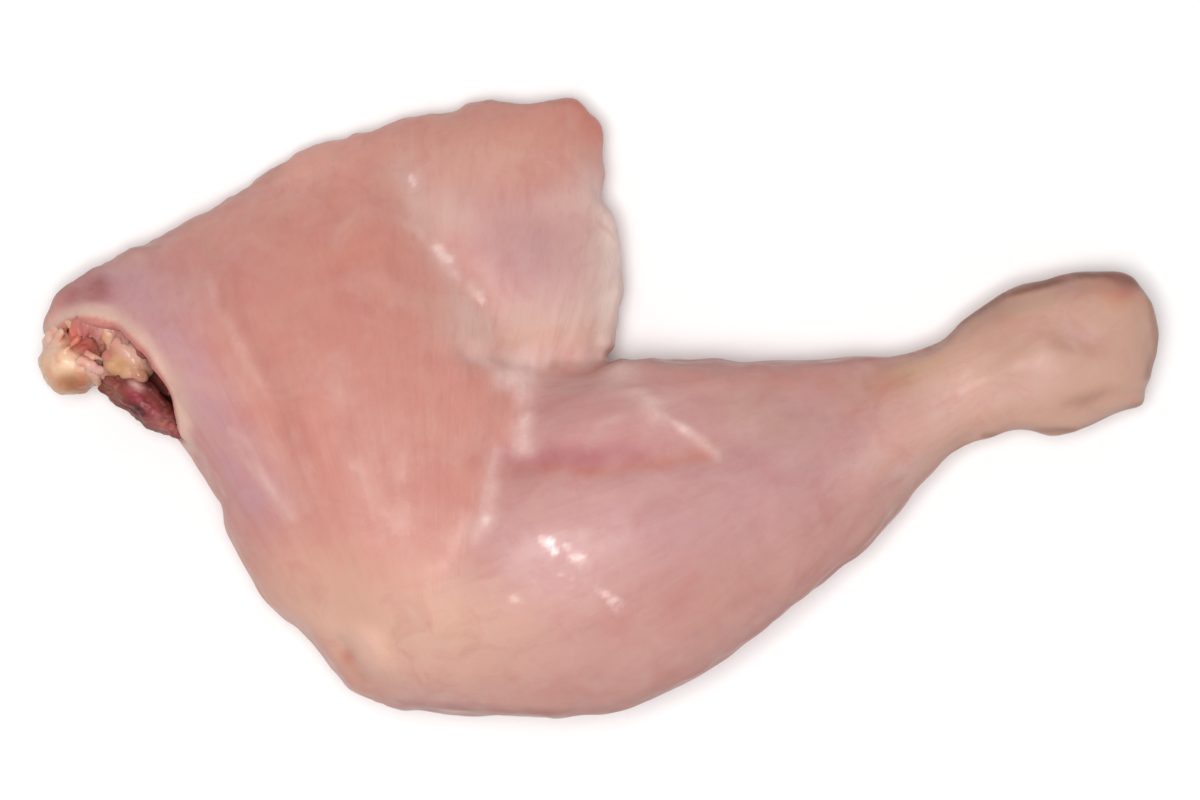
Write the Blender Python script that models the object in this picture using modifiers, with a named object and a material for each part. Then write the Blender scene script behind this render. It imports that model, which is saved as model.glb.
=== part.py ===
"""A raw skinless chicken leg, thigh and drumstick in one piece, lying on its inner side.

Metres, +Z up. +X runs towards the ankle, +Y towards the loose back edge of the thigh, and the outer
side of the leg faces up. The floor under the leg is z = 0, and the origin is the middle of the
leg's own box on that floor.

The flesh is one solid. Each muscle mass is a loft of a few sections or a stretched sphere, a voxel
remesh fuses them, a smooth pass rounds the creases between them, and the underside is pressed flat
where it rests. The hip end is an open cut, in which the head of the thigh bone, a pad of fat and
the dark deep muscle each sit in a socket of their own.
"""

import math

import bmesh
import bpy
import numpy as np
from mathutils import Matrix, Vector

MM = 0.001

# How finely the flesh is fused, how far its creases are rounded, and how many triangles are kept.
VOXEL = 0.9 * MM
SMOOTH_PASSES = 30
LAST_PASSES = 8
FLESH_TRIANGLES = 9000

# Meat lower than this is pressed level with the floor, in a soft curve of the same reach above it.
PRESS_REACH = 1.2 * MM

# The thigh is lofted from the middle of its top edge down towards the knee, and the drumstick from
# the knee along its bone. A heading is the angle of that way from +X.
THIGH_TOP = Vector((-41.9, 29.1, 0)) * MM
THIGH_HEADING = math.radians(-68)
KNEE = Vector((-22.8, -32.4, 0)) * MM
SHANK_HEADING = math.radians(21.45)

RING_POINTS = 24

# Each section, in millimetres: how far along, its two edges, where its crest lies between them,
# and the heights of its underside, its edges and its crest.
THIGH_SECTIONS = (
    (-6.8, -23.0, 8.0, -6, 2.0, 8.0, 15.0),
    (-3.2, -41.5, 16.0, -8, 0.0, 9.5, 21.0),
    (2.0, -46.5, 22.0, -10, -1.0, 11.0, 26.0),
    (7.0, -47.5, 25.0, -12, -1.5, 12.0, 29.5),
    (13.0, -42.5, 27.0, -12, -1.5, 13.0, 32.5),
    (19.0, -37.0, 28.0, -11, -1.5, 14.0, 34.5),
    (25.0, -34.0, 28.0, -10, -1.5, 14.5, 36.0),
    (31.0, -32.9, 27.0, -9, -1.5, 15.0, 37.0),
    (37.0, -32.2, 25.0, -8, -1.5, 15.5, 37.5),
    (43.0, -31.6, 24.0, -8, -1.5, 16.0, 37.8),
    (50.0, -30.7, 24.0, -6, -1.5, 16.5, 37.8),
    (58.0, -27.8, 24.0, -3, -1.5, 16.5, 36.5),
    (66.0, -23.9, 24.0, 0, -0.5, 16.0, 33.5),
    (73.0, -17.8, 22.0, 3, 1.0, 15.0, 28.0),
    (79.0, -8.5, 20.0, 6, 4.5, 14.0, 21.0),
)

FLAP_SECTIONS = (
    (-10.5, -2.0, 18.0, 6, 3.5, 7.0, 10.0),
    (-7.2, -20.0, 31.0, 6, 1.0, 7.5, 15.0),
    (-3.0, -34.0, 42.0, 8, -0.5, 8.0, 19.0),
    (2.0, -36.0, 44.0, 10, -1.0, 8.5, 22.0),
    (8.0, -30.0, 42.6, 12, -1.5, 9.0, 24.5),
    (14.0, -24.0, 41.0, 13, -1.5, 9.5, 26.0),
    (20.0, -18.0, 40.0, 14, -1.5, 10.0, 27.0),
    (26.0, -12.0, 38.2, 14, -1.5, 10.0, 27.0),
    (31.0, -6.0, 36.5, 14, -1.0, 10.5, 26.0),
    (35.0, 0.0, 33.0, 14, 0.5, 12.0, 23.5),
    (38.5, 4.0, 26.0, 14, 5.0, 13.0, 20.0),
)

SHANK_SECTIONS = (
    (-20.0, -1.0, 8.0, 4, 8.0, 14.0, 20.0),
    (-15.0, -7.4, 14.0, 4, 3.0, 15.0, 28.0),
    (-8.0, -12.5, 20.0, 4, 0.0, 16.5, 33.5),
    (0.0, -15.8, 24.0, 4, -1.5, 17.5, 36.5),
    (8.0, -19.0, 26.0, 4, -2.0, 18.5, 38.8),
    (16.0, -21.5, 27.5, 4, -2.0, 19.0, 40.2),
    (24.0, -22.7, 28.0, 3, -2.0, 19.5, 41.0),
    (32.0, -22.2, 28.0, 3, -2.0, 19.5, 40.5),
    (40.0, -20.4, 27.0, 3, -1.5, 19.0, 38.8),
    (48.0, -18.2, 23.8, 3, -0.5, 18.0, 36.0),
    (56.0, -15.7, 20.9, 3, 1.0, 16.5, 32.5),
    (64.0, -12.6, 18.0, 3, 2.5, 15.0, 28.5),
    (72.0, -8.3, 15.2, 3, 3.5, 13.5, 24.0),
    (79.0, -5.2, 12.6, 4, 4.0, 12.5, 21.0),
    (85.0, -3.9, 12.8, 4, 4.0, 12.0, 20.0),
    (91.0, -5.1, 14.5, 4, 2.5, 12.0, 21.0),
    (97.0, -7.7, 15.8, 4, 0.5, 12.0, 22.5),
    (103.0, -8.3, 15.4, 4, -0.5, 11.5, 22.5),
    (109.0, -8.2, 14.2, 4, -0.5, 11.0, 21.5),
    (113.5, -5.8, 12.6, 4, 1.0, 10.5, 19.0),
    (117.0, -1.0, 9.5, 5, 4.5, 10.0, 15.0),
)

# Lesser masses: centre, half sizes along, across and up, in millimetres, and the angle of the long
# side in degrees.
BELLIES = {
    "hip_end": ((-73.0, 11.0, 11.5), (11.5, 10.0, 10.5), 0),
    "knee_cap": ((-37.0, -34.5, 18.0), (10.0, 7.0, 9.0), -42),
    "upper_condyle": ((77.5, 15.5, 12.5), (7.0, 5.0, 8.0), 20),
    "lower_condyle": ((78.0, 3.2, 11.5), (7.0, 5.0, 9.0), 24),
}

# The valleys where one muscle meets the next on the outer side: the points it runs through in plan,
# how far it spreads to either side, and how deep it is. A ridge is a valley of negative depth.
VALLEYS = {
    "knee_crease": (((-9, 8), (-12, 3), (-13, -6), (-16, -14), (-20, -22)), 3.4, 1.3),
    "calf_seam": (((-14, -7), (-4, -7), (8, -6), (20, -4)), 4.0, 1.0),
    "loose_lobe_edge": (((-31, 38), (-25, 24), (-18, 14), (-9, 8)), 5.0, 1.4),
    "front_strip_edge": (((-62, 22), (-56, 12), (-51, 2), (-47, -10), (-43, -22)), 4.5, 0.8),
    "calf_swell": (((-2, 1), (14, 3), (32, 4)), 5.5, -0.7),
    "tendon": (((30, -9), (48, -4), (62, 2)), 3.0, 0.6),
}

# The open cut at the hip, a bowl that leaves a lip of meat under what it shows, and two of the
# things in it, as stretched spheres like those above.
BOWL = ((-74.5, 2.5, 20.0), (13.0, 9.4, 12.0), -33)
DEEP_MUSCLE = ((-69.7, 0.5, 12.0), (7.0, 3.0, 6.3), -33)
FAT_PAD = ((-71.6, 8.3, 16.6), (4.8, 2.3, 3.6), -42)

# The head of the thigh bone: centre of its ball, the way its neck goes into the meat, and the
# outline of both as pairs of distance from that centre and radius.
BALL_CENTRE = Vector((-80.6, 6.9, 13.0)) * MM
NECK_WAY = Vector((0.62, 0.62, -0.48)).normalized()
BALL_RADIUS = 5.0 * MM
NECK_OUTLINE = ((5.5, 3.1), (9.0, 3.0), (12.0, 3.3))
NECK_SIDES = 28
BALL_STEPS = 12

# Each of them lies in a socket this much larger all round.
SEAT_GAP = 0.35 * MM

# The colour and roughness of each node.
MEAT = ((0.80, 0.50, 0.45, 1), 0.38)
DARK_MEAT = ((0.30, 0.06, 0.05, 1), 0.32)
CARTILAGE = ((0.83, 0.70, 0.52, 1), 0.30)
FAT = ((0.82, 0.72, 0.42, 1), 0.40)


def clear_scene():
    for obj in list(bpy.data.objects):
        bpy.data.objects.remove(obj, do_unlink=True)


def collection(name):
    made = bpy.data.collections.new(name)
    bpy.context.scene.collection.children.link(made)
    return made


def put(name, mesh, where):
    """An object of this mesh in that collection."""
    obj = bpy.data.objects.new(name, mesh)
    where.objects.link(obj)
    return obj


def mesh_of(bm, name):
    mesh = bpy.data.meshes.new(name)
    bm.to_mesh(mesh)
    bm.free()
    return mesh


def applied(obj):
    """The mesh that the object's modifiers make. The object is removed."""
    graph = bpy.context.evaluated_depsgraph_get()
    mesh = bpy.data.meshes.new_from_object(obj.evaluated_get(graph))
    bpy.data.objects.remove(obj, do_unlink=True)
    return mesh


def section_points(section, origin, heading):
    """One ring of a loft: four quarter ellipses that meet at the edges, the crest and the underside."""
    along, left, right, crest, underside, waist, top = section
    forward = Vector((math.cos(heading), math.sin(heading), 0))
    across = Vector((-math.sin(heading), math.cos(heading), 0))
    points = []
    for i in range(RING_POINTS):
        turn = 2 * math.pi * i / RING_POINTS
        side, rise = math.cos(turn), math.sin(turn)
        reach = (right - crest) * side if side > 0 else (crest - left) * side
        height = (top - waist) * rise if rise > 0 else (waist - underside) * rise
        plan = origin + (forward * along + across * (crest + reach)) * MM
        points.append(plan + Vector((0, 0, (waist + height) * MM)))
    return points


def loft(bm, sections, origin, heading):
    """A closed body through the sections."""
    rings = [
        [bm.verts.new(p) for p in section_points(s, origin, heading)] for s in sections
    ]
    for near, far in zip(rings, rings[1:]):
        for i in range(RING_POINTS):
            j = (i + 1) % RING_POINTS
            bm.faces.new((near[i], near[j], far[j], far[i]))
    for ring in (rings[0], rings[-1]):
        bm.faces.new(ring)


def belly(bm, centre, half_sizes, degrees):
    """A stretched sphere, turned about the vertical."""
    place = (
        Matrix.Translation(Vector(centre) * MM)
        @ Matrix.Rotation(math.radians(degrees), 4, "Z")
        @ Matrix.Diagonal((*(Vector(half_sizes) * MM), 1))
    )
    bmesh.ops.create_uvsphere(bm, u_segments=32, v_segments=16, radius=1, matrix=place)


def raw_flesh(where):
    """Every muscle mass as its own closed shell, in one mesh."""
    bm = bmesh.new()
    loft(bm, THIGH_SECTIONS, THIGH_TOP, THIGH_HEADING)
    loft(bm, FLAP_SECTIONS, THIGH_TOP, THIGH_HEADING)
    loft(bm, SHANK_SECTIONS, KNEE, SHANK_HEADING)
    for centre, half_sizes, degrees in BELLIES.values():
        belly(bm, centre, half_sizes, degrees)
    bmesh.ops.recalc_face_normals(bm, faces=bm.faces)
    return put("raw_flesh", mesh_of(bm, "raw_flesh"), where)


def distance_to_path(points, path):
    """How far each point lies from a path of straight stretches, all in plan."""
    nearest = np.full(len(points), np.inf)
    for start, end in zip(path, path[1:]):
        run = end - start
        share = np.clip((points - start) @ run / (run @ run), 0, 1)
        away = points - start - share[:, None] * run
        nearest = np.minimum(nearest, np.linalg.norm(away, axis=1))
    return nearest


def sink_valleys(mesh):
    """Lowers the outer side along each valley, in a bell curve across it."""
    count = len(mesh.vertices)
    places, normals = np.empty(count * 3), np.empty(count * 3)
    mesh.vertices.foreach_get("co", places)
    mesh.vertices.foreach_get("normal", normals)
    places, normals = places.reshape(-1, 3), normals.reshape(-1, 3)
    facing_up = np.clip(normals[:, 2], 0, 1)
    for points, spread, depth in VALLEYS.values():
        off = distance_to_path(places[:, :2], np.array(points) * MM) / (spread * MM)
        places -= normals * (depth * MM * np.exp(-off * off) * facing_up)[:, None]
    mesh.vertices.foreach_set("co", places.ravel())


def pressed(height):
    """Meat that would sink under the floor lies flat on it, and what is just above it bends in."""
    if height > PRESS_REACH:
        return height
    if height < -PRESS_REACH:
        return 0.0
    return (height + PRESS_REACH) ** 2 / (4 * PRESS_REACH)


def rounded(obj, passes):
    """Smooths the object's mesh this many times."""
    smooth = obj.modifiers.new("round_off", "SMOOTH")
    smooth.factor = 0.5
    smooth.iterations = passes


def fused_flesh(where):
    """The masses fused into one skin, rounded where they meet, and pressed level on the underside."""
    lumps = raw_flesh(where)
    remesh = lumps.modifiers.new("fuse", "REMESH")
    remesh.mode = "VOXEL"
    remesh.voxel_size = VOXEL
    rounded(lumps, SMOOTH_PASSES)
    mesh = applied(lumps)
    sink_valleys(mesh)
    for vertex in mesh.vertices:
        vertex.co.z = pressed(vertex.co.z)
    flesh = put("leg_meat", mesh, where)
    rounded(flesh, LAST_PASSES)
    decimate = flesh.modifiers.new("thin_out", "DECIMATE")
    decimate.ratio = FLESH_TRIANGLES / sum(len(p.vertices) - 2 for p in mesh.polygons)
    return put("leg_meat", applied(flesh), where)


def lump(name, form, extra, where):
    """A stretched sphere as an object, grown by the extra distance."""
    centre, half_sizes, degrees = form
    bm = bmesh.new()
    belly(bm, centre, [size + extra / MM for size in half_sizes], degrees)
    return put(name, mesh_of(bm, name), where)


def bone_outline(extra):
    """Half the outline of ball and neck, from the neck's far end to the ball's pole: (radius, along)."""
    ball = BALL_RADIUS + extra
    neck = [(radius * MM + extra, along * MM) for along, radius in reversed(NECK_OUTLINE)]
    far = neck[0][1] + extra
    outline = [(0.0, far), (neck[0][0], far)] + neck[1:]
    waist = math.asin(neck[-1][0] / ball)
    for i in range(BALL_STEPS):
        turn = waist + (math.pi - waist) * i / BALL_STEPS
        outline.append((ball * math.sin(turn), ball * math.cos(turn)))
    return outline + [(0.0, -ball)]


def bone_head(name, extra, where):
    """The ball of the thigh bone on its neck, grown by the extra distance."""
    bm = bmesh.new()
    points = [bm.verts.new((radius, 0, along)) for radius, along in bone_outline(extra)]
    for pair in zip(points, points[1:]):
        bm.edges.new(pair)
    bone = put(name, mesh_of(bm, name), where)
    screw = bone.modifiers.new("turn", "SCREW")
    screw.steps = screw.render_steps = NECK_SIDES
    screw.use_merge_vertices = True
    screw.merge_threshold = 0.05 * MM
    bone.location = BALL_CENTRE
    bone.rotation_mode = "QUATERNION"
    bone.rotation_quaternion = Vector((0, 0, 1)).rotation_difference(NECK_WAY)
    return bone


def centre_on_origin(nodes, others):
    """Moves everything so that the box around the nodes stands on the origin."""
    bpy.context.view_layer.update()
    graph = bpy.context.evaluated_depsgraph_get()
    places = []
    for obj in nodes:
        shape = obj.evaluated_get(graph)
        places += [shape.matrix_world @ vertex.co for vertex in shape.data.vertices]
    low, high = np.min(places, axis=0), np.max(places, axis=0)
    middle = (low + high) / 2
    for obj in nodes + others:
        obj.location -= Vector((middle[0], middle[1], low[2]))


def cut_away(obj, cutter):
    cutter.hide_render = True
    cutter.display_type = "WIRE"
    boolean = obj.modifiers.new(cutter.name, "BOOLEAN")
    boolean.operation = "DIFFERENCE"
    boolean.solver = "EXACT"
    boolean.object = cutter


def paint(obj, look):
    colour, roughness = look
    material = bpy.data.materials.new(obj.name)
    material.use_nodes = True
    shader = material.node_tree.nodes["Principled BSDF"]
    shader.inputs["Base Color"].default_value = colour
    shader.inputs["Roughness"].default_value = roughness
    shader.inputs["Metallic"].default_value = 0
    obj.data.materials.append(material)
    obj.data.shade_smooth()


def main():
    clear_scene()
    leg = collection("chicken_leg")
    cutters = collection("cutters")
    meat = fused_flesh(leg)
    openings = [
        lump("hip_bowl", BOWL, 0, cutters),
        bone_head("bone_socket", SEAT_GAP, cutters),
        lump("deep_muscle_socket", DEEP_MUSCLE, SEAT_GAP, cutters),
        lump("fat_socket", FAT_PAD, SEAT_GAP, cutters),
    ]
    for opening in openings:
        cut_away(meat, opening)
    bone = bone_head("femur_head", 0, leg)
    deep = lump("deep_muscle", DEEP_MUSCLE, 0, leg)
    fat = lump("hip_fat", FAT_PAD, 0, leg)
    for node, look in ((meat, MEAT), (bone, CARTILAGE), (deep, DARK_MEAT), (fat, FAT)):
        paint(node, look)
    centre_on_origin([meat, bone, deep, fat], openings)


main()
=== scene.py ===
# %% [markdown]
# # A raw skinless chicken leg
#
# This lesson dresses one raw chicken leg: thigh and drumstick in one bent piece, lying on its inner
# side and seen from straight above. Raw poultry is a hard finish, because almost nothing on it is one
# flat colour. Salmon and mauve muscles meet along pale seams, a thin wet skin of membrane lies over
# them, and the light goes a little way into the meat before it comes back.
#
# The solid model comes first. It is the frame that every piece is fitted to, so its box is kept.

import math
from contextlib import contextmanager

import bmesh
import bpy
import numpy as np
from mathutils import Matrix, Vector, noise


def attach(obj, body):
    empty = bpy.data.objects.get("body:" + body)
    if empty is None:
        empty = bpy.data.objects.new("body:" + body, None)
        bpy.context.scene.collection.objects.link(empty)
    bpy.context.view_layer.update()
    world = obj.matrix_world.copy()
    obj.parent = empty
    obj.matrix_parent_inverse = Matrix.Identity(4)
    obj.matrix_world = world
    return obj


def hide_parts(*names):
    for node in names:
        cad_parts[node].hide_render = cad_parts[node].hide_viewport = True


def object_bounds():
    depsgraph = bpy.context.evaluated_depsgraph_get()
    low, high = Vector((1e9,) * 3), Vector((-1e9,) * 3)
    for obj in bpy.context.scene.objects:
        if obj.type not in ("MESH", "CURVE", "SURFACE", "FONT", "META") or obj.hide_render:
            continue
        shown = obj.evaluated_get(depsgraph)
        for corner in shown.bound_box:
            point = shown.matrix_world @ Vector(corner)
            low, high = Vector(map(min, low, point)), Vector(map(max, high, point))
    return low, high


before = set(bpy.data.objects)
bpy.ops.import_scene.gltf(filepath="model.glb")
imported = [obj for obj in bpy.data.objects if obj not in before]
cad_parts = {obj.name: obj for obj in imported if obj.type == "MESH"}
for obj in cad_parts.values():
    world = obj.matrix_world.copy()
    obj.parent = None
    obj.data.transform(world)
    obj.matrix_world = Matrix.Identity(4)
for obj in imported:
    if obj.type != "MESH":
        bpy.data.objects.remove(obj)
cad_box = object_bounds()
LOW, HIGH = cad_box
MM = 0.001
print("solids:", sorted(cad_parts))
print("box in mm:", [round(side / MM, 1) for side in HIGH - LOW])

# %% [markdown]
# ## Places on the leg
#
# Muscle seams, streaks of fat and patches of colour have no construction of their own, so their
# places are read from the photograph, in its pixels, and turned into places on the leg. The leg fills
# the photograph between two columns and two rows, and the solid fills its box, so one pixel has one
# real size.

# %% From a pixel of the photograph to a place in plan
LEG_COLUMNS = (38, 1159)
LEG_ROWS = (99, 715)
PIXEL = (HIGH.x - LOW.x) / (LEG_COLUMNS[1] - LEG_COLUMNS[0])


def place(column, row):
    """The place in plan, in metres, of a pixel of the photograph."""
    x = (LOW.x + HIGH.x) / 2 + (column - sum(LEG_COLUMNS) / 2) * PIXEL
    y = (LOW.y + HIGH.y) / 2 - (row - sum(LEG_ROWS) / 2) * PIXEL
    return np.array((x, y))


def spot(column, row, height):
    """A place in space, from a pixel and a height in mm."""
    return Vector((*place(column, row), height * MM))


print("one pixel is", round(PIXEL / MM, 4), "mm")

# %% [markdown]
# ### What the camera makes of it
#
# A camera sees high places a little further out than low ones. Its lens and distance are settled
# before anything is painted, so that paint meant for a pixel lands on the skin seen in that pixel.

# %% Where each point appears
IMAGE_WIDTH, IMAGE_HEIGHT = 1200, 800
LENS, SENSOR = 150.0, 36.0
MID_HEIGHT = 15 * MM
VIEW_RISE = IMAGE_WIDTH * PIXEL * LENS / SENSOR
VIEW_MIDDLE = place(IMAGE_WIDTH / 2, IMAGE_HEIGHT / 2)


def seen(points):
    """Where each point appears in plan."""
    nearer = VIEW_RISE / (VIEW_RISE + MID_HEIGHT - points[:, 2])
    return VIEW_MIDDLE + (points[:, :2] - VIEW_MIDDLE) * nearer[:, None]


print("the camera will stand", round(VIEW_RISE, 3), "m above the middle of the leg")

# %% [markdown]
# ### Soft lines and soft spots
#
# Nothing on meat has a hard border. So each seam and each patch is a bell curve that is 1 in its
# middle and fades with the distance. It serves twice, once to press relief into the surface and once
# to tint it.

# %% Shapes that fade
def nearest_on(plan, pixels):
    """How far each point in plan lies from a line through these pixels, and on which side of it."""
    path = [place(*pixel) for pixel in pixels]
    nearest, side = np.full(len(plan), np.inf), np.zeros(len(plan))
    for start, end in zip(path, path[1:]):
        run = end - start
        share = np.clip((plan - start) @ run / (run @ run), 0, 1)
        away = plan - start - share[:, None] * run
        far = np.linalg.norm(away, axis=1)
        turned = run[0] * away[:, 1] - run[1] * away[:, 0]
        side = np.where(far < nearest, np.sign(turned), side)
        nearest = np.minimum(nearest, far)
    return nearest, side


def soft_line(plan, pixels, half_width):
    """1 on the line, falling off in a bell curve of this half width."""
    return np.exp(-((nearest_on(plan, pixels)[0] / half_width) ** 2))


def soft_spot(plan, pixel, half_sizes, degrees=0):
    """1 in the middle of an oval, falling off in a bell curve. The sizes are in pixels too."""
    turn = math.radians(degrees)
    away = plan - place(*pixel)
    along = away @ np.array((math.cos(turn), math.sin(turn))) / (half_sizes[0] * PIXEL)
    across = away @ np.array((-math.sin(turn), math.cos(turn))) / (half_sizes[1] * PIXEL)
    return np.exp(-(along**2 + across**2))


def soft_ball(places, middle, radius):
    """The same round a place in space."""
    return np.exp(-((np.linalg.norm(places - np.array(middle), axis=1) / radius) ** 2))


def smooth_step(values, start, end):
    """0 before the start, 1 after the end, and a soft ramp between them."""
    share = np.clip((values - start) / (end - start), 0, 1)
    return share * share * (3 - 2 * share)


at_the_edge = soft_spot(place(610, 400)[None], (600, 400), (10, 10))
print("a soft spot is worth", round(float(at_the_edge[0]), 2), "one half size from its middle")

# %% [markdown]
# ## A fine skin for the flesh
#
# The solid leg has a few thousand triangles, enough to weigh it and to drop it on a table, but too few
# for a seam or a fibre. A sculptor would remesh it, and that is done here too. The solid's own mesh is
# left alone: a copy is merged, a voxel remesh gives it an even net of small faces, and the smooth
# operator takes out the flat facets. The opening at the hip is smoothed less, so that its lip stays
# crisp.

# %% Helpers that copy, open and read a mesh
WELD = 0.01 * MM


@contextmanager
def editing(mesh):
    """Opens a mesh as a bmesh, and writes it back when the block ends."""
    bm = bmesh.new()
    bm.from_mesh(mesh)
    yield bm
    bm.to_mesh(mesh)
    bm.free()


def show(name, data):
    """A new object in the scene."""
    obj = bpy.data.objects.new(name, data)
    bpy.context.scene.collection.objects.link(obj)
    return obj


def merged_copy(node, name):
    """An object with a welded copy of a solid's mesh."""
    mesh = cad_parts[node].data.copy()
    mesh.materials.clear()
    with editing(mesh) as bm:
        bmesh.ops.remove_doubles(bm, verts=bm.verts, dist=WELD)
    return show(name, mesh)


def vectors_of(mesh, what):
    """The vertices' places ("co") or normals ("normal") as rows of an array."""
    flat = np.empty(len(mesh.vertices) * 3)
    mesh.vertices.foreach_get(what, flat)
    return flat.reshape(-1, 3)


def move_to(mesh, places):
    """Moves the vertices to these places, and shades the surface smooth."""
    mesh.vertices.foreach_set("co", places.ravel())
    mesh.polygons.foreach_set("use_smooth", [True] * len(mesh.polygons))
    mesh.update()


print("the solid flesh has", len(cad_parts["leg_meat"].data.polygons), "triangles")

# %% Remesh and smooth
SKIN_VOXEL = 0.59 * MM
HIP_MOUTH = Vector((*place(112, 372), 14 * MM))
MOUTH_REACH, MOUTH_OVERLAP = 15 * MM, 2 * MM
LIP_CORNER = Vector((*place(178, 440), 15 * MM))
CORNER_REACH = 4.2 * MM
BODY_PASSES, MOUTH_PASSES, CORNER_PASSES = 24, 5, 54


def remeshed(obj, voxel):
    """Swaps the object's mesh for an even net of small faces."""
    modifier = obj.modifiers.new("even_net", "REMESH")
    modifier.mode = "VOXEL"
    modifier.voxel_size = voxel
    graph = bpy.context.evaluated_depsgraph_get()
    mesh = bpy.data.meshes.new_from_object(obj.evaluated_get(graph))
    obj.modifiers.clear()
    obj.data = mesh
    mesh.name = obj.name
    return mesh


def smooth(mesh, passes, which=lambda co: True):
    """Smooths the vertices for which the test is true."""
    with editing(mesh) as bm:
        chosen = [v for v in bm.verts if which(v.co)]
        for _ in range(passes):
            bmesh.ops.smooth_vert(
                bm, verts=chosen, factor=0.5, use_axis_x=True, use_axis_y=True, use_axis_z=True
            )


flesh = merged_copy("leg_meat", "flesh")
skin = remeshed(flesh, SKIN_VOXEL)
smooth(skin, BODY_PASSES, lambda co: (co - HIP_MOUTH).length > MOUTH_REACH)
smooth(skin, MOUTH_PASSES, lambda co: (co - HIP_MOUTH).length <= MOUTH_REACH + MOUTH_OVERLAP)
smooth(skin, CORNER_PASSES, lambda co: (co - LIP_CORNER).length <= CORNER_REACH)
print("flesh:", len(skin.vertices), "vertices,", len(skin.polygons), "faces")

# %% [markdown]
# ## Which way the fibres run
#
# Every muscle is a bundle of long fibres. On the thigh they start along the whole upper edge, where
# the leg left the back, and draw together towards the kneecap, like a fan. On the drumstick they start
# broad at the knee and draw together into the tendons of the ankle, a second fan. So two numbers
# describe the grain of each: how far a point is from the fan's handle, and the angle round it. Stored
# on the surface as attributes, they let relief and colour follow the muscles round the bend, which a
# plain noise in space can't do.

# %% Two fans of fibres
THIGH_FAN, SHANK_FAN = place(440, 790), place(1215, 255)
THIGH_RADIUS, SHANK_RADIUS = 70 * MM, 60 * MM
SEAM_OF_MUSCLES = (
    (1200, 60), (660, 345), (560, 362), (520, 380), (519, 450),
    (492, 480), (470, 545), (400, 640), (380, 720),
)
SEAM_HALF_WIDTH = 3 * MM


def fan(points, handle, steady_radius):
    """Along the fibres, across them and up, in metres."""
    away = points[:, :2] - handle
    along = np.linalg.norm(away, axis=1)
    middle = away.mean(axis=0)
    turn = np.arctan2(away[:, 1], away[:, 0]) - math.atan2(middle[1], middle[0])
    turn = (turn + math.pi) % (2 * math.pi) - math.pi
    return np.column_stack((along, turn * steady_radius, points[:, 2]))


points = vectors_of(skin, "co")
thigh_grain = fan(points, THIGH_FAN, THIGH_RADIUS)
shank_grain = fan(points, SHANK_FAN, SHANK_RADIUS)
nearest, side = nearest_on(seen(points), SEAM_OF_MUSCLES)
drumstick = smooth_step(nearest * side, -SEAM_HALF_WIDTH, SEAM_HALF_WIDTH)
print("share of the skin on the drumstick:", round(float(drumstick.mean()), 2))

# %% [markdown]
# ### Noise along and across the fibres
#
# Noise that is stretched along the grain gives bundles and strands, and plain noise gives the lumps,
# the dimples and the ragged films of membrane. Near a fan's handle the fibres would crowd together,
# so they fade out there.

# %% Noise that follows the fibres
BUNDLE_SIZE, STRAND_SIZE = (26 * MM, 3.4 * MM), (14 * MM, 1.5 * MM)
LUMP_SIZE, DIMPLE_SIZE, FILM_SIZE, WAVER_SIZE = 13 * MM, 4.5 * MM, 9 * MM, 5 * MM
WAVER = 0.5 * MM
FADE_FROM, FADE_TO = 28 * MM, 62 * MM
SHANK_SHIFT = 7.3


def noise_at(rows):
    return np.array([noise.noise(Vector(row)) for row in rows])


def fibre_noise(length, width, offset=0.0):
    """Noise stretched along the fibres of whichever muscle a point lies on."""
    stretch = 1 / np.array((length, width, width * 2))
    thigh = noise_at(thigh_grain * stretch + offset)
    shank = noise_at(shank_grain * stretch + offset + SHANK_SHIFT)
    return thigh * (1 - drumstick) + shank * drumstick


reach = thigh_grain[:, 0] * (1 - drumstick) + shank_grain[:, 0] * drumstick
loose = smooth_step(reach, FADE_FROM, FADE_TO)
bundles = fibre_noise(*BUNDLE_SIZE) * loose
strands = fibre_noise(*STRAND_SIZE, 3.1) * loose
lumps = noise_at(points / LUMP_SIZE)
dimples = noise_at(points / DIMPLE_SIZE + 5.0)
film_patches = noise_at(points / FILM_SIZE + 21.0) + 0.4 * dimples
waver = np.column_stack([noise_at(points / WAVER_SIZE + shift) for shift in (31.0, 47.0)]) * WAVER
print("fibre noise from", round(float(bundles.min()), 2), "to", round(float(bundles.max()), 2))

# %% [markdown]
# ## The hollow at the hip
#
# The thigh bone was drawn out of its socket here, and left a hollow under a rim of flesh. Its wall is
# close to an oval cup, so a turned oval tells skin on the wall from skin outside. The rim is made
# ragged there, and the wall gets its own colours and its torn ends.

# %% The oval of the hollow
HOLLOW_MIDDLE = np.array((-74.5, 2.5, 20.0)) * MM
HOLLOW_HALF_SIZES = np.array((13.0, 9.4, 12.0)) * MM
HOLLOW_TURN = math.radians(-33)
WALL_MARGIN = 1.03
ON_THE_WALL = 0.985


def from_hollow(places):
    """Along, across and up from the middle of the hollow, in its half sizes."""
    away = places - HOLLOW_MIDDLE
    along = away[:, 0] * math.cos(HOLLOW_TURN) + away[:, 1] * math.sin(HOLLOW_TURN)
    across = away[:, 1] * math.cos(HOLLOW_TURN) - away[:, 0] * math.sin(HOLLOW_TURN)
    return np.column_stack((along, across, away[:, 2])) / HOLLOW_HALF_SIZES


def in_hollow(places):
    """1 inside the hollow and on its wall, falling below 1 away from it."""
    return np.minimum(1, WALL_MARGIN / np.maximum(np.linalg.norm(from_hollow(places), axis=1), 0.01))


print("vertices on the wall of the hollow:", int((in_hollow(points) > ON_THE_WALL).sum()))

# %% [markdown]
# ## Seams round the sides
#
# The photograph shows the leg from above only, but a part is looked at from every side. On a real leg
# the long muscles lie round the bone like slats round a barrel, and the seams between them run from
# joint to joint. So each seam here is an angle round the bone at either end, and it wanders a little.

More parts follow.
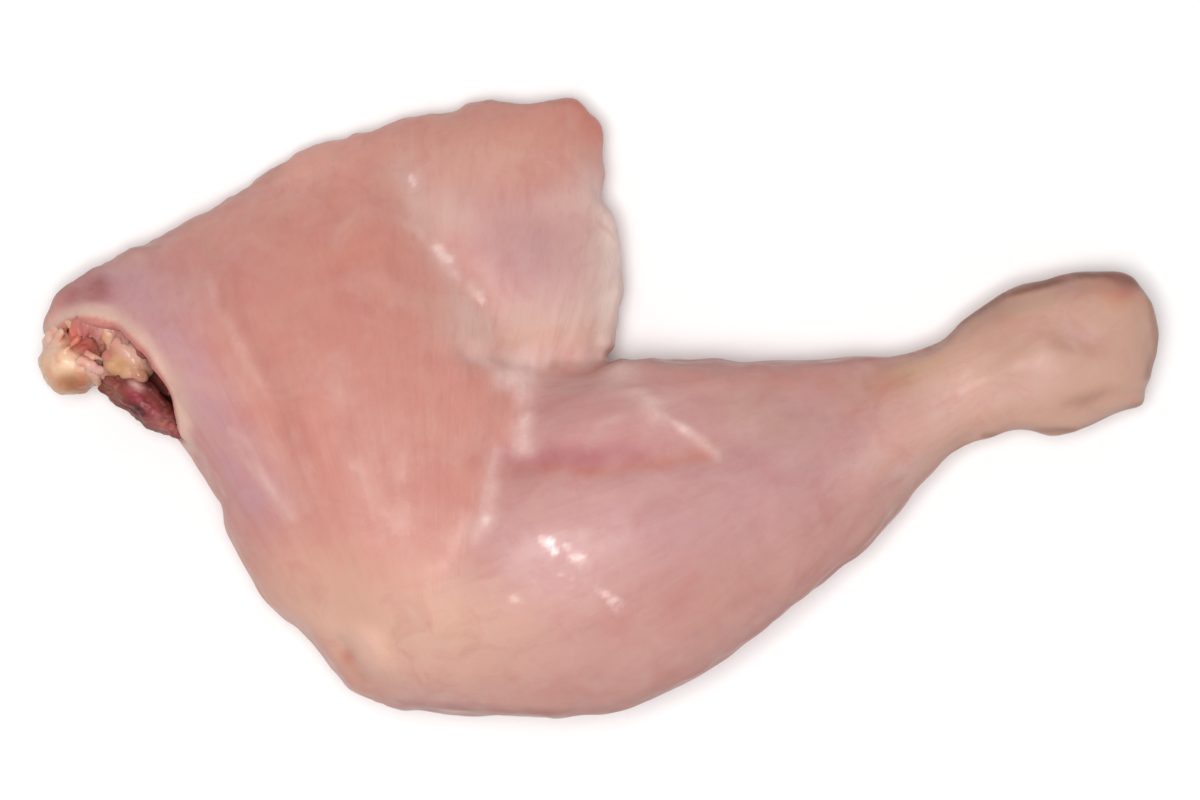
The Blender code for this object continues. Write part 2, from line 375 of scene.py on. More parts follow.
# %% Angles round the two bones
# Degrees round the bone at its start and at its end, half width in mm, height in mm, whiteness.
THIGH_BONE = (spot(110, 330, 18), spot(420, 640, 17))
THIGH_SEAMS = (
    (-38, -24, 1.7, -0.6, 0.10), (4, 16, 1.4, -0.45, 0.18), (-70, -62, 1.8, -0.5, 0.0),
    (-16, -2, 0.7, 0.22, 0.40), (205, 232, 1.6, -0.5, 0.12),
)
SHIN_BONE = (spot(440, 605, 17), spot(1130, 345, 13))
SHIN_SEAMS = (
    (-34, -12, 1.7, -0.6, 0.12), (2, 22, 1.4, -0.4, 0.0), (-66, -48, 1.8, -0.5, 0.0),
    (-16, 6, 0.7, 0.24, 0.40), (176, 158, 1.5, -0.5, 0.10), (206, 190, 1.7, -0.55, 0.0),
    (192, 176, 0.7, 0.22, 0.35), (240, 225, 1.8, -0.5, 0.12),
)
WANDER, WANDER_PACE = math.radians(7), 5
SEAM_FADE = 0.15


def round_the_bone(points, bone):
    """The share of the way along a bone, the angle round it and the distance from it, for each point."""
    start, end = (np.array(joint) for joint in bone)
    run = end - start
    along = run / np.linalg.norm(run)
    aside = np.array((along[1], -along[0], 0)) / math.hypot(along[0], along[1])
    up = np.cross(aside, along)
    away = points - start
    across, rise = away @ aside, away @ up
    return away @ along / np.linalg.norm(run), np.arctan2(rise, across), np.hypot(across, rise)


def seams_round(points, bone, seams, where):
    """How far each vertex rises, in mm, and how white it is, from the seams round one bone."""
    share, angle, radius = round_the_bone(points, bone)
    ends = smooth_step(share, 0.0, SEAM_FADE) * smooth_step(share, 1.0, 1 - SEAM_FADE) * where
    rise, white = np.zeros(len(points)), np.zeros(len(points))
    for i, (at_start, at_end, half_width, height, whiteness) in enumerate(seams):
        drift = [noise.noise(Vector((WANDER_PACE * t, i * 3.7, 0))) for t in share]
        seam = np.radians(at_start + (at_end - at_start) * share) + WANDER * np.array(drift)
        off = (angle - seam + math.pi) % (2 * math.pi) - math.pi
        line = np.exp(-((off * radius / (half_width * MM)) ** 2)) * ends
        rise += height * line
        white = np.maximum(white, whiteness * line)
    return rise, white


thigh_lines = seams_round(points, THIGH_BONE, THIGH_SEAMS, 1 - drumstick)
shin_lines = seams_round(points, SHIN_BONE, SHIN_SEAMS, drumstick)
side_rise, side_white = (a + b for a, b in zip(thigh_lines, shin_lines))
print("deepest seam in mm:", round(float(side_rise.min()), 2))

# %% [markdown]
# ## Relief
#
# Where two muscles meet, the surface dips, and where fat or tendon runs over them it stands a little
# proud. The dips and ridges are given as lines on the photograph with a width and a height, and each
# vertex moves along its own normal. Heights are tenths of a millimetre, because the membrane over the
# meat bridges the smaller gaps.

# %% Seams seen from above
# Pixels of the line, half width in mm, height in mm. A dip has a negative height.
SEAMS = {
    "under_flap": (((468, 353), (505, 358), (545, 362), (590, 361), (620, 356)), 1.7, -0.9),
    "flap_edge": (((398, 165), (424, 228), (444, 256), (480, 297), (500, 338), (520, 352)), 2.6, -0.45),
    "front_strip": (((199, 268), (228, 310), (254, 353), (273, 394), (292, 452)), 2.2, -0.45),
    "calf_groove": (((500, 462), (560, 462), (640, 460), (710, 450), (790, 436)), 2.4, -0.45),
    "knee_fold": (((338, 640), (350, 660), (366, 680)), 1.1, -0.5),
    "shin": (((400, 640), (470, 660), (560, 655), (660, 625), (760, 570)), 3.0, -0.3),
    "calf_top": (((640, 395), (720, 402), (800, 398), (870, 385)), 2.4, -0.35),
    "ankle_cord": (((800, 455), (880, 432), (950, 398), (1015, 362)), 1.8, 0.22),
    "ankle_cord_low": (((850, 500), (905, 462), (960, 425), (1020, 402)), 1.6, 0.2),
    "ankle_dip": (((905, 425), (960, 385), (1020, 345)), 1.8, -0.35),
    "ankle_crease": (((1070, 408), (1105, 402), (1140, 394)), 1.4, -0.5),
    "ankle_knob": (((1060, 300), (1100, 286), (1140, 292)), 2.0, 0.45),
}
print(len(SEAMS), "seams and ridges")

# %% [markdown]
# ### Lines of fat
#
# Thin lines of fat and tendon run over the seams, whiter than the membrane and a little proud of it.
# They are given like the seams, with a whiteness added, and noise breaks them into short runs,
# because an even line looks drawn.

# %% Lines of fat
# Pixels of the line, half width in mm, height in mm, how white it is.
FAT_LINES = {
    "knee_line": (((540, 352), (526, 366), (521, 384), (521, 420), (518, 450)), 1.5, 0.25, 0.50),
    "knee_line_core": (((527, 368), (525, 400), (523, 448)), 1.6, 0.12, 0.8),
    "knee_line_top": (((506, 378), (522, 368), (543, 358)), 1.9, 0.1, 0.8),
    "knee_line_left": (((522, 372), (498, 364), (474, 358)), 0.9, 0.12, 0.4),
    "knee_pad": (((530, 352), (560, 355), (590, 352)), 1.3, 0.12, 0.45),
    "lower_line": (((496, 452), (490, 480), (486, 508), (476, 540)), 1.4, 0.2, 0.42),
    "lower_pad": (((488, 520), (476, 540)), 1.5, 0.1, 0.4),
    "calf_slant": (((650, 404), (684, 430), (720, 454)), 0.75, 0.18, 0.52),
    "calf_slant_pad": (((622, 372), (640, 388), (658, 408)), 2.5, 0.1, 0.62),
    "calf_slant_left": (((600, 424), (625, 414), (650, 408)), 1.0, 0.08, 0.2),
    "front_streak": (((232, 430), (248, 458), (268, 487), (294, 519)), 0.7, 0.2, 0.38),
    "flap_streak": (((411, 220), (437, 247), (452, 268), (482, 297)), 0.8, 0.15, 0.4),
    "strip_line": (((206, 282), (232, 330), (256, 380), (272, 410)), 1.0, 0.1, 0.2),
    "kneecap": (((366, 636), (378, 650), (386, 664)), 1.7, 0.45, 0.12),
}
print(len(FAT_LINES), "lines of fat")

# %% [markdown]
# ### The outline and the ends of the bones
#
# The solid keeps the outline simple, and the real one has small corners and ripples. Here the steep
# skin near a place moves sideways, out or in. At the ankle, the two rounded ends of the shin bone
# show through the skin, with dips beside them.

# %% Small pushes of the outline
# Pixels of the outline, half width in mm, how far it is pushed out in mm.
EDGE_PUSHES = {
    "hip_top": (
        ((44, 320), (58, 292), (92, 264), (125, 247), (170, 230), (215, 205), (258, 180), (300, 154)),
        2.6, 0.8,
    ),
    "hip_corner": (((96, 264), (112, 254), (128, 248)), 2.2, 2.3),
    "hip_dent": (((108, 262), (118, 258)), 1.4, 1.0),
    "hip_side": (((42, 345), (42, 325), (46, 308), (60, 290), (76, 275)), 1.8, 1.1),
    "back_step": (((326, 139), (352, 132)), 2.0, 0.65),
    "back_ripple_2": (((470, 104), (492, 100)), 1.6, 0.5),
    "back_dip": (((440, 114), (452, 112)), 1.8, -0.5),
    "flap_corner": (((576, 100), (596, 106), (603, 134)), 2.8, 2.2),
    "flap_corner_tip": (((590, 101), (602, 118)), 1.8, 1.9),
    "flap_side": (((606, 158), (607, 172)), 1.6, 0.8),
    "flap_notch": (((601, 198), (602, 200)), 1.2, -0.6),
    "flap_bulge": (((612, 222), (622, 255), (620, 292)), 2.4, 1.1),
    "flap_foot": (((617, 322), (613, 345), (626, 356), (650, 358)), 1.5, 0.7),
    "flap_foot_fill": (((607, 346), (605, 360), (618, 364)), 1.6, 0.8),
    "ankle_end": (((1150, 305), (1157, 325), (1157, 352)), 1.8, 0.7),
    "ankle_corner": (((1140, 402), (1141, 406)), 1.7, 1.3),
    "ankle_top": (((1062, 273), (1095, 271), (1130, 275)), 1.8, 0.8),
    "ankle_back": (((1003, 290), (1045, 280)), 1.8, 0.3),
    "ankle_heel": (((1052, 434), (1090, 432)), 2.0, 0.5),
    "knee_bottom": (((560, 714), (625, 711)), 2.4, 0.5),
    "front_hollow": (((192, 462), (200, 480), (214, 505)), 2.6, -1.1),
    "hollow_lip": (((170, 434), (180, 444)), 1.7, -0.6),
    "knee_front": (((300, 632), (320, 656)), 2.6, -0.8),
    "behind_ankle": (((890, 354), (915, 349), (940, 336)), 2.2, -0.3),
    "below_shank": (((860, 556), (900, 510), (946, 463), (985, 440)), 2.2, 0.6),
    "knee_corner": (((352, 688), (372, 702), (400, 712)), 1.8, 0.8),
}
# Place in space, radius in mm, height in mm.
ANKLE_KNOBS = (
    (spot(1154, 318, 15), 3.4, 0.55), (spot(1150, 378, 13), 3.2, 0.5), (spot(1160, 347, 16), 2.0, -0.5),
    (spot(1162, 347, 11), 2.2, -0.7), (spot(1140, 330, 4), 3.4, 0.4), (spot(1138, 372, 4), 3.0, 0.4),
)
print(len(EDGE_PUSHES), "pushes and", len(ANKLE_KNOBS), "knobs")

# %% [markdown]
# ### Press it all into the skin
#
# A knife leaves the upper edge of the thigh rougher than the rest, so the bundles stand out more
# there. Skin on the floor isn't moved, because the leg's own weight presses it level.

# %% How far each vertex moves
CUT_EDGE_FROM, CUT_EDGE_TO = 88 * MM, 97 * MM
LUMP, DIMPLE, BUNDLE, STRAND = 0.42, 0.14, 0.12, 0.06
CUT_BUNDLE, CUT_STRAND = 0.16, 0.2
SIDE_SEAMS_ON_TOP = 0.25
EDGE_RIPPLE = 0.22
RIM_RAGGED = 0.9
cut_edge = smooth_step(thigh_grain[:, 0], CUT_EDGE_FROM, CUT_EDGE_TO) * (1 - drumstick)


def relief(points, facing_up):
    """How far each vertex rises, in mm, and how much fat lies on it."""
    plan = seen(points) + waver
    side = smooth_step(facing_up, 1.0, 0.35)
    rise = LUMP * lumps + DIMPLE * dimples + (BUNDLE * bundles + STRAND * strands) * (1 + 2 * side)
    rise += side_rise * (SIDE_SEAMS_ON_TOP + (1 - SIDE_SEAMS_ON_TOP) * side)
    rise += (CUT_BUNDLE * bundles + CUT_STRAND * strands) * cut_edge * side
    fat = side_white * side * (0.8 + 0.9 * dimples + 0.6 * strands)
    for pixels, half_width, height in SEAMS.values():
        rise += height * soft_line(plan, pixels, half_width * MM) * facing_up
    for pixels, half_width, height, whiteness in FAT_LINES.values():
        line = soft_line(plan, pixels, half_width * MM) * facing_up
        rise += height * line * (0.75 + 0.8 * dimples)
        fat = np.maximum(fat, whiteness * line * (0.9 + 1.2 * strands + 0.8 * dimples))
    return rise, np.clip(fat, 0, 1)


def edge_push(plan, steepness):
    """How far the outline moves outwards at each vertex, in mm. Only steep skin is part of it."""
    push = EDGE_RIPPLE * dimples * steepness
    for pixels, half_width, reach in EDGE_PUSHES.values():
        push += reach * soft_line(plan, pixels, half_width * MM) * steepness
    return push


def press_relief(mesh):
    """Moves the vertices, except those that lie on the floor."""
    places, normals = vectors_of(mesh, "co"), vectors_of(mesh, "normal")
    rise, fat = relief(places, smooth_step(normals[:, 2], -0.1, 0.4))
    for middle, radius, height in ANKLE_KNOBS:
        rise += height * soft_ball(places, middle, radius * MM)
    rise += RIM_RAGGED * dimples * smooth_step(in_hollow(places), 0.84, 0.96)
    off_floor = smooth_step(places[:, 2], 0.2 * MM, 2.5 * MM)
    flat_length = np.maximum(np.linalg.norm(normals[:, :2], axis=1), 0.05)
    push = edge_push(seen(places), smooth_step(1 - np.abs(normals[:, 2]), 0.25, 0.7))
    places += normals * (rise * MM * off_floor)[:, None]
    places[:, :2] += normals[:, :2] / flat_length[:, None] * (push * MM)[:, None]
    places[:, 2] = np.maximum(places[:, 2], 0)
    move_to(mesh, places)
    return fat


fat_on_skin = press_relief(skin)
print("vertices under fat lines:", int((fat_on_skin > 0.5).sum()))

# %% [markdown]
# ## Water on the skin
#
# Beads of water gather on the pale lines and catch the light, and a thin film lies round them and
# down the sides. Both are amounts on the surface: the shader makes the beads glossy and whitens them
# as a painted highlight, and makes the skin glossier under the film.

# %% Beads and films
# Pixel of the middle, half sizes in pixels, angle.
WET_BEADS = (
    ((437, 248), (5, 9), 35), ((447, 258), (5, 7), 35), ((481, 296), (5, 8), 30),
    ((548, 542), (10, 6), -20), ((574, 555), (15, 6), -40), ((565, 576), (9, 4), -20),
    ((613, 601), (12, 6), -40), ((516, 600), (9, 4), -10), ((598, 588), (5, 3), -40),
    ((412, 180), (3, 6), 25), ((440, 244), (3, 5), 60), ((556, 552), (4, 6), 0),
    ((606, 596), (5, 3), -60), ((486, 520), (3, 4), 0),
)
WET_FILMS = (
    ((568, 566), (48, 30), -25), ((455, 265), (22, 60), 30), ((268, 490), (12, 40), 35),
    ((375, 655), (45, 22), -10), ((520, 400), (16, 50), 0),
)
BEAD_GRAIN = 1.3 * MM
FILM_ON_SIDES = 0.6

skin_plan = seen(vectors_of(skin, "co"))
beads_and_painted_glints = sum(soft_spot(skin_plan, *bead) for bead in WET_BEADS)
beads_and_painted_glints = smooth_step(beads_and_painted_glints * (1 + 1.6 * dimples + 1.6 * noise_at(points / BEAD_GRAIN)), 0.1, 1.1)
film = FILM_ON_SIDES * smooth_step(vectors_of(skin, "normal")[:, 2], 0.5, 0.0)
film += sum(soft_spot(skin_plan, *wet) for wet in WET_FILMS)
print("wet vertices:", int((beads_and_painted_glints > 0.5).sum()))

# %% [markdown]
# ## Patches of colour
#
# The flesh is painted as a retoucher would, in layers. A base colour goes on first, then broad soft
# patches for the muscles, then smaller ones for blood, bare muscle along the cut edges and the
# yellowish skin of the ankle, with painted shade in a few creases and along the ankle's upper edge
# and a painted sheen on the drumstick. Each is a place, a size and a colour, and the sum is stored
# on the surface as a colour attribute. The shader adds everything finer than that.

# %% Colours as the eye sees them
def linear(red, green, blue):
    """A screen colour as the light that the shader works with."""
    return np.array([
        c / 12.92 if c <= 0.04045 else ((c + 0.055) / 1.055) ** 2.4 for c in (red, green, blue)
    ])


SALMON = linear(0.82, 0.57, 0.52)
MAUVE = linear(0.80, 0.59, 0.59)
DRUMSTICK = linear(0.80, 0.60, 0.58)
PALE_MEMBRANE = linear(0.86, 0.71, 0.68)
GREY_MEMBRANE = linear(0.89, 0.80, 0.76)
BARE_MUSCLE = linear(0.82, 0.54, 0.47)
PEACH = linear(0.88, 0.69, 0.61)
BEIGE = linear(0.81, 0.64, 0.57)
YELLOWED = linear(0.78, 0.62, 0.48)
# Painted shade for creases, the middle of the ankle and the skin under the flap's edge.
BROWN_PAINTED_SHADE = linear(0.60, 0.43, 0.35)
BLOOD = linear(0.66, 0.36, 0.33)
# Painted shade for the outline where the skin turns away, in brown and in pink.
PAINTED_EDGE_SHADE_BROWN = linear(0.53, 0.37, 0.31)
PAINTED_EDGE_SHADE_PINK = linear(0.65, 0.43, 0.39)
DEEP_PINK = linear(0.72, 0.45, 0.47)
HIP_MAGENTA = linear(0.62, 0.33, 0.34)
FLAP_CREAM = linear(0.89, 0.76, 0.72)
DUSKY = linear(0.71, 0.55, 0.50)
# Pale lilac membrane, also laid as a painted sheen on the drumstick's wet crest.
PALE_LILAC_AND_PAINTED_SHEEN = linear(0.86, 0.70, 0.71)
FLAP_WHITE = linear(0.97, 0.88, 0.84)
ROSY = linear(0.79, 0.52, 0.50)
# Reddened meat, also laid as painted shade along the drumstick's lower right side.
REDDENED_AND_PAINTED_SHADE = linear(0.78, 0.48, 0.42)
DEEP_SALMON = linear(0.77, 0.52, 0.47)
DRUM_SALMON = linear(0.79, 0.57, 0.52)
ANKLE_PINK = linear(0.76, 0.58, 0.52)
LAVENDER = linear(0.77, 0.59, 0.595)
STRIP_MAUVE = linear(0.78, 0.585, 0.60)
OLIVE_BEIGE = linear(0.78, 0.64, 0.55)
# Brown skin of the ankle, also laid as painted shade along its upper edge.
ANKLE_BROWN_AND_PAINTED_SHADE = linear(0.70, 0.52, 0.45)
# Painted shade on the ankle's top outline.
ANKLE_PAINTED_EDGE_SHADE = linear(0.50, 0.29, 0.23)
ANKLE_ROSE = linear(0.87, 0.66, 0.61)
BRIGHT_SALMON = linear(0.90, 0.64, 0.58)
WARM_BEIGE = linear(0.85, 0.68, 0.60)
FLAP_GREY = linear(0.84, 0.71, 0.67)
RIM_CREAM = linear(0.91, 0.77, 0.70)
KNEE_CREAM = linear(0.92, 0.74, 0.65)
# Pale fascia, also laid as painted highlights on the wet dark muscle.
FASCIA_AND_PAINTED_HIGHLIGHT = linear(0.87, 0.72, 0.66)
TORN_WALL = linear(0.80, 0.48, 0.45)
# Dark meat at the wall's right end, laid thicker lower down as painted shade.
DARK_WALL_AND_PAINTED_SHADE = linear(0.52, 0.25, 0.22)
print("salmon as light:", np.round(SALMON, 2))

# %% Soft patches, from broad to small
# Colour, pixel of the middle, half sizes in pixels, angle, strength.
PATCHES = (
    (PALE_MEMBRANE, (560, 300), (75, 60), 0, 0.65),
    (PALE_MEMBRANE, (445, 205), (40, 55), 30, 0.5),
    (LAVENDER, (532, 240), (66, 56), 0, 0.85),
    (ROSY, (248, 268), (48, 38), 20, 0.5),
    (DEEP_SALMON, (402, 330), (38, 56), 10, 0.4),
    (PALE_MEMBRANE, (598, 260), (30, 90), 0, 0.8),
    (GREY_MEMBRANE, (617, 275), (17, 75), 0, 0.9),
    (BARE_MUSCLE, (345, 250), (80, 60), -20, 0.45),
    (BARE_MUSCLE, (300, 400), (60, 60), 0, 0.3),
    (DEEP_SALMON, (335, 330), (95, 85), -20, 0.4),
    (DEEP_SALMON, (385, 455), (60, 80), 20, 0.55),
    (DEEP_SALMON, (262, 385), (45, 60), -30, 0.35),
    (DRUM_SALMON, (720, 600), (130, 45), 32, 0.7),
    (DRUM_SALMON, (560, 690), (150, 26), 0, 0.65),
    (DRUM_SALMON, (860, 500), (70, 30), 40, 0.5),
    (ANKLE_PINK, (1040, 350), (60, 36), 12, 0.7),
    (PALE_MEMBRANE, (1085, 332), (22, 8), 10, 0.35),
    (PALE_MEMBRANE, (945, 415), (34, 18), 35, 0.5),
    (STRIP_MAUVE, (120, 285), (60, 30), 15, 0.7),
    (LAVENDER, (765, 475), (105, 60), 25, 0.85),
    (LAVENDER, (655, 515), (80, 45), 15, 0.45),
    (PEACH, (420, 625), (120, 60), -5, 0.8),
    (PEACH, (320, 590), (40, 50), -50, 0.7),
    (WARM_BEIGE, (340, 615), (75, 45), -48, 0.6),
    (WARM_BEIGE, (430, 640), (110, 45), 0, 0.45),
    (OLIVE_BEIGE, (1000, 392), (45, 26), 20, 0.6),
    (DEEP_PINK, (600, 452), (110, 16), 3, 0.35),
    (DEEP_PINK, (610, 405), (60, 25), 3, 0.3),
    (YELLOWED, (902, 374), (45, 15), 25, 0.6),
    (BLOOD, (1122, 291), (16, 9), 20, 0.7),
    (BARE_MUSCLE, (588, 140), (22, 28), 0, 0.35),
    (FLAP_GREY, (560, 325), (62, 22), 0, 0.75),
    (FLAP_GREY, (412, 182), (12, 26), 20, 0.3),
    (FLAP_GREY, (452, 212), (26, 22), 0, 0.45),
    (KNEE_CREAM, (378, 650), (24, 12), -50, 0.85),
    (KNEE_CREAM, (330, 622), (22, 9), -25, 0.35),
    (REDDENED_AND_PAINTED_SHADE, (349, 657), (9, 10), 0, 0.7),
    # Painted shade at the knee's fold.
    (BROWN_PAINTED_SHADE, (363, 678), (16, 8), -35, 0.35),
    # Painted shade in the crease at the ankle's lower side.
    (BROWN_PAINTED_SHADE, (1092, 399), (22, 9), 12, 0.4),
    (BLOOD, (1112, 282), (18, 7), 0, 0.55),
    (YELLOWED, (1118, 300), (22, 10), -20, 0.5),
    (OLIVE_BEIGE, (1040, 306), (46, 10), 12, 0.5),
    (ANKLE_BROWN_AND_PAINTED_SHADE, (1030, 340), (48, 9), 10, 0.4),
    (PALE_MEMBRANE, (1030, 392), (40, 14), 16, 0.4),
    (LAVENDER, (1078, 332), (12, 8), 0, 0.4),
    (LAVENDER, (155, 305), (60, 36), 10, 0.35),
    (FLAP_GREY, (186, 396), (40, 13), -58, 0.6),
    (WARM_BEIGE, (500, 150), (76, 28), 0, 0.5),
    (WARM_BEIGE, (432, 145), (38, 20), 0, 0.3),
    (FLAP_GREY, (500, 332), (36, 16), 0, 0.45),
    (PALE_MEMBRANE, (514, 372), (20, 13), 0, 0.5),
    (PALE_MEMBRANE, (908, 468), (26, 14), 45, 0.55),
    (REDDENED_AND_PAINTED_SHADE, (1108, 291), (24, 8), -8, 0.5),
    (ANKLE_ROSE, (975, 398), (22, 18), 0, 0.5),
    (PALE_LILAC_AND_PAINTED_SHEEN, (588, 348), (22, 8), 0, 0.7),
    (FLAP_CREAM, (590, 188), (24, 38), 0, 0.55),
    (FLAP_CREAM, (586, 318), (34, 26), 0, 0.75),
    (FLAP_CREAM, (558, 206), (36, 16), 0, 0.4),
    (BRIGHT_SALMON, (308, 170), (70, 24), 26, 0.7),
    (BRIGHT_SALMON, (205, 222), (40, 14), 28, 0.3),
    (ANKLE_ROSE, (898, 441), (30, 20), 40, 0.8),
    # Painted shade along the ankle's upper edge, in this row and the next.
    (ANKLE_BROWN_AND_PAINTED_SHADE, (1092, 287), (42, 12), 8, 0.75),
    (ANKLE_BROWN_AND_PAINTED_SHADE, (1000, 316), (42, 9), 30, 0.5),
    (FLAP_GREY, (180, 405), (16, 34), 20, 0.4),
    # A painted sheen on the drumstick's wet crest.
    (PALE_LILAC_AND_PAINTED_SHEEN, (540, 560), (46, 30), -25, 0.5),
    (FLAP_WHITE, (611, 318), (15, 34), 0, 0.7),
    (FLAP_WHITE, (606, 180), (9, 26), 0, 0.4),
    (PALE_MEMBRANE, (575, 383), (46, 12), 0, 0.35),
    (FLAP_CREAM, (532, 352), (16, 12), 0, 0.5),
    # Painted shade on the middle of the ankle.
    (BROWN_PAINTED_SHADE, (1062, 348), (16, 6), 0, 0.25),
    (DUSKY, (750, 405), (40, 26), 0, 0.45),
    (DUSKY, (860, 380), (44, 14), 0, 0.35),
    (FLAP_CREAM, (560, 337), (46, 12), 0, 0.6),
    (FLAP_CREAM, (602, 275), (16, 60), 0, 0.5),
    (FLAP_GREY, (465, 325), (30, 22), -20, 0.5),
    (DUSKY, (800, 425), (60, 20), 12, 0.45),
    (PALE_MEMBRANE, (862, 468), (34, 16), 40, 0.5),
    (PALE_MEMBRANE, (1010, 385), (36, 14), 20, 0.35),
    (OLIVE_BEIGE, (178, 400), (12, 44), 20, 0.55),
)
print(len(PATCHES), "patches")

# %% [markdown]
# ### Streaks and edges
#
# Long marks follow a line: the membranes over the seams, the reddish groove of the calf, the pale rim
# of the hollow, a painted shadow under the flap's edge and painted shade along the outline where it
# turns away. An edge shade is painted shade as well, and only tints skin that turns down, so that it
# can't run on down a side.

# %% Streaks and edges
ANKLE_TOP_EDGE = (
    (925, 346), (945, 337), (958, 325), (970, 313), (988, 304), (1003, 295),
    (1024, 288), (1046, 282), (1070, 275), (1101, 271), (1122, 275), (1136, 283),
)
SHANK_LOW_EDGE = (
    (640, 705), (700, 675), (763, 627), (817, 586), (850, 558),
    (883, 526), (910, 491), (943, 460), (965, 446),
)
HOLLOW_RIM = ((64, 320), (84, 312), (108, 318), (132, 339), (153, 367), (169, 396), (181, 424))
# Colour, pixels of a line, half width in mm, strength.
STREAKS = (
    (BARE_MUSCLE, ((425, 128), (500, 118), (560, 116), (590, 125), (594, 150)), 4.6, 0.3),
    (STRIP_MAUVE, ((100, 285), (158, 318), (196, 380), (226, 440), (262, 505)), 4.6, 0.85),
    (HIP_MAGENTA, ((76, 299), (87, 293), (99, 288)), 2.2, 0.9),
    (DEEP_SALMON, ((205, 245), (236, 310), (262, 375), (284, 440)), 1.3, 0.5),
    (FLAP_GREY, ((405, 172), (424, 222), (444, 262), (468, 312), (490, 345)), 2.0, 0.35),
    (WARM_BEIGE, ((482, 344), (540, 346), (600, 338)), 2.6, 0.6),
    # Painted shade on the middle of the ankle.
    (BROWN_PAINTED_SHADE, ((1060, 345), (1095, 348)), 1.8, 0.25),
    (PALE_MEMBRANE, ((238, 445), (262, 478), (290, 515)), 1.3, 0.3),
    (PALE_MEMBRANE, ((470, 352), (520, 356), (600, 352)), 2.2, 0.55),
    # Painted shadow under the flap's edge.
    (BROWN_PAINTED_SHADE, ((548, 366), (590, 364), (626, 360)), 0.9, 0.6),
    (FLAP_WHITE, ((606, 215), (617, 260), (613, 310), (604, 340)), 1.7, 0.6),
    # Painted shade along the outline, in this row and the eight below: ankle, drumstick, knee and flap
    # top.
    (PAINTED_EDGE_SHADE_BROWN, ANKLE_TOP_EDGE, 0.85, 0.85),
    (ANKLE_PAINTED_EDGE_SHADE, ((1092, 274), (1112, 274), (1130, 281)), 0.9, 0.7),
    (ANKLE_PAINTED_EDGE_SHADE, ((955, 329), (970, 315), (1003, 297), (1046, 284), (1095, 275)), 0.55, 0.65),
    (PAINTED_EDGE_SHADE_PINK, SHANK_LOW_EDGE, 0.7, 0.5),
    (PAINTED_EDGE_SHADE_BROWN, ((985, 436), (1030, 433), (1080, 431), (1120, 413), (1140, 403)), 0.6, 0.45),
    (PAINTED_EDGE_SHADE_BROWN, ((1147, 300), (1155, 325), (1156, 350), (1148, 375)), 0.6, 0.4),
    (PAINTED_EDGE_SHADE_PINK, ((632, 359), (720, 361), (800, 361), (870, 358), (915, 351)), 0.6, 0.55),
    (PAINTED_EDGE_SHADE_PINK, ((400, 704), (470, 711), (560, 713), (620, 710)), 0.7, 0.5),
    (PAINTED_EDGE_SHADE_PINK, ((440, 112), (480, 102), (545, 100), (590, 104)), 0.7, 0.35),
    (RIM_CREAM, HOLLOW_RIM, 1.25, 0.7),
    (REDDENED_AND_PAINTED_SHADE, ((580, 103), (592, 125), (596, 150)), 2.0, 0.6),
    (MAUVE, ((604, 160), (606, 185)), 1.6, 0.6),
    (REDDENED_AND_PAINTED_SHADE, ((520, 466), (600, 470), (650, 464), (708, 452)), 1.3, 0.7),
    (DEEP_PINK, ((504, 456), (560, 458), (640, 455)), 1.9, 0.75),
    (REDDENED_AND_PAINTED_SHADE, ((640, 372), (720, 374), (800, 378), (880, 384)), 2.6, 0.35),
)
# The same, as painted shade on skin that turns down at the outline.
EDGE_SHADES = (
    (PAINTED_EDGE_SHADE_BROWN, ((930, 345), (985, 304), (1045, 283), (1110, 272), (1135, 285)), 1.9, 0.6),
    (PAINTED_EDGE_SHADE_BROWN, ((1142, 300), (1157, 330), (1150, 372)), 1.8, 0.3),
    (PAINTED_EDGE_SHADE_PINK, ((540, 360), (640, 356), (760, 362), (870, 362), (930, 345)), 2.0, 0.5),
    (PAINTED_EDGE_SHADE_BROWN, ((42, 350), (60, 290), (110, 254), (165, 232), (215, 204), (275, 170)), 1.8, 0.35),
    (PAINTED_EDGE_SHADE_BROWN, ((960, 440), (1010, 430), (1090, 432), (1140, 405)), 1.6, 0.25),
    (PAINTED_EDGE_SHADE_PINK, ((650, 700), (750, 630), (840, 550), (900, 480), (960, 440)), 2.2, 0.35),
    # Painted shade on the drumstick's lower right side.
    (REDDENED_AND_PAINTED_SHADE, ((640, 690), (740, 620), (840, 540)), 5.0, 0.35),
    (PAINTED_EDGE_SHADE_PINK, ((310, 640), (345, 680), (400, 706), (560, 716), (650, 700)), 1.6, 0.35),
)
print(len(STREAKS), "streaks and", len(EDGE_SHADES), "edge shades")

# %% [markdown]
# ### Lay the paint on
#
# The order is that of a painter: muscles, patches, streaks, edges, then the sides and the hollow,
# which the photograph hardly shows. Each layer covers the last as thickly as its weight says, and
# a little noise in the weight keeps its border from looking sprayed.

# %% A brush for patches, streaks and edges
def tint(colour, over, weight):
    """Lays one colour over the rows of another, as thickly as the weight of each row says."""
    colour += (over - colour) * np.clip(weight, 0, 1)[:, None]


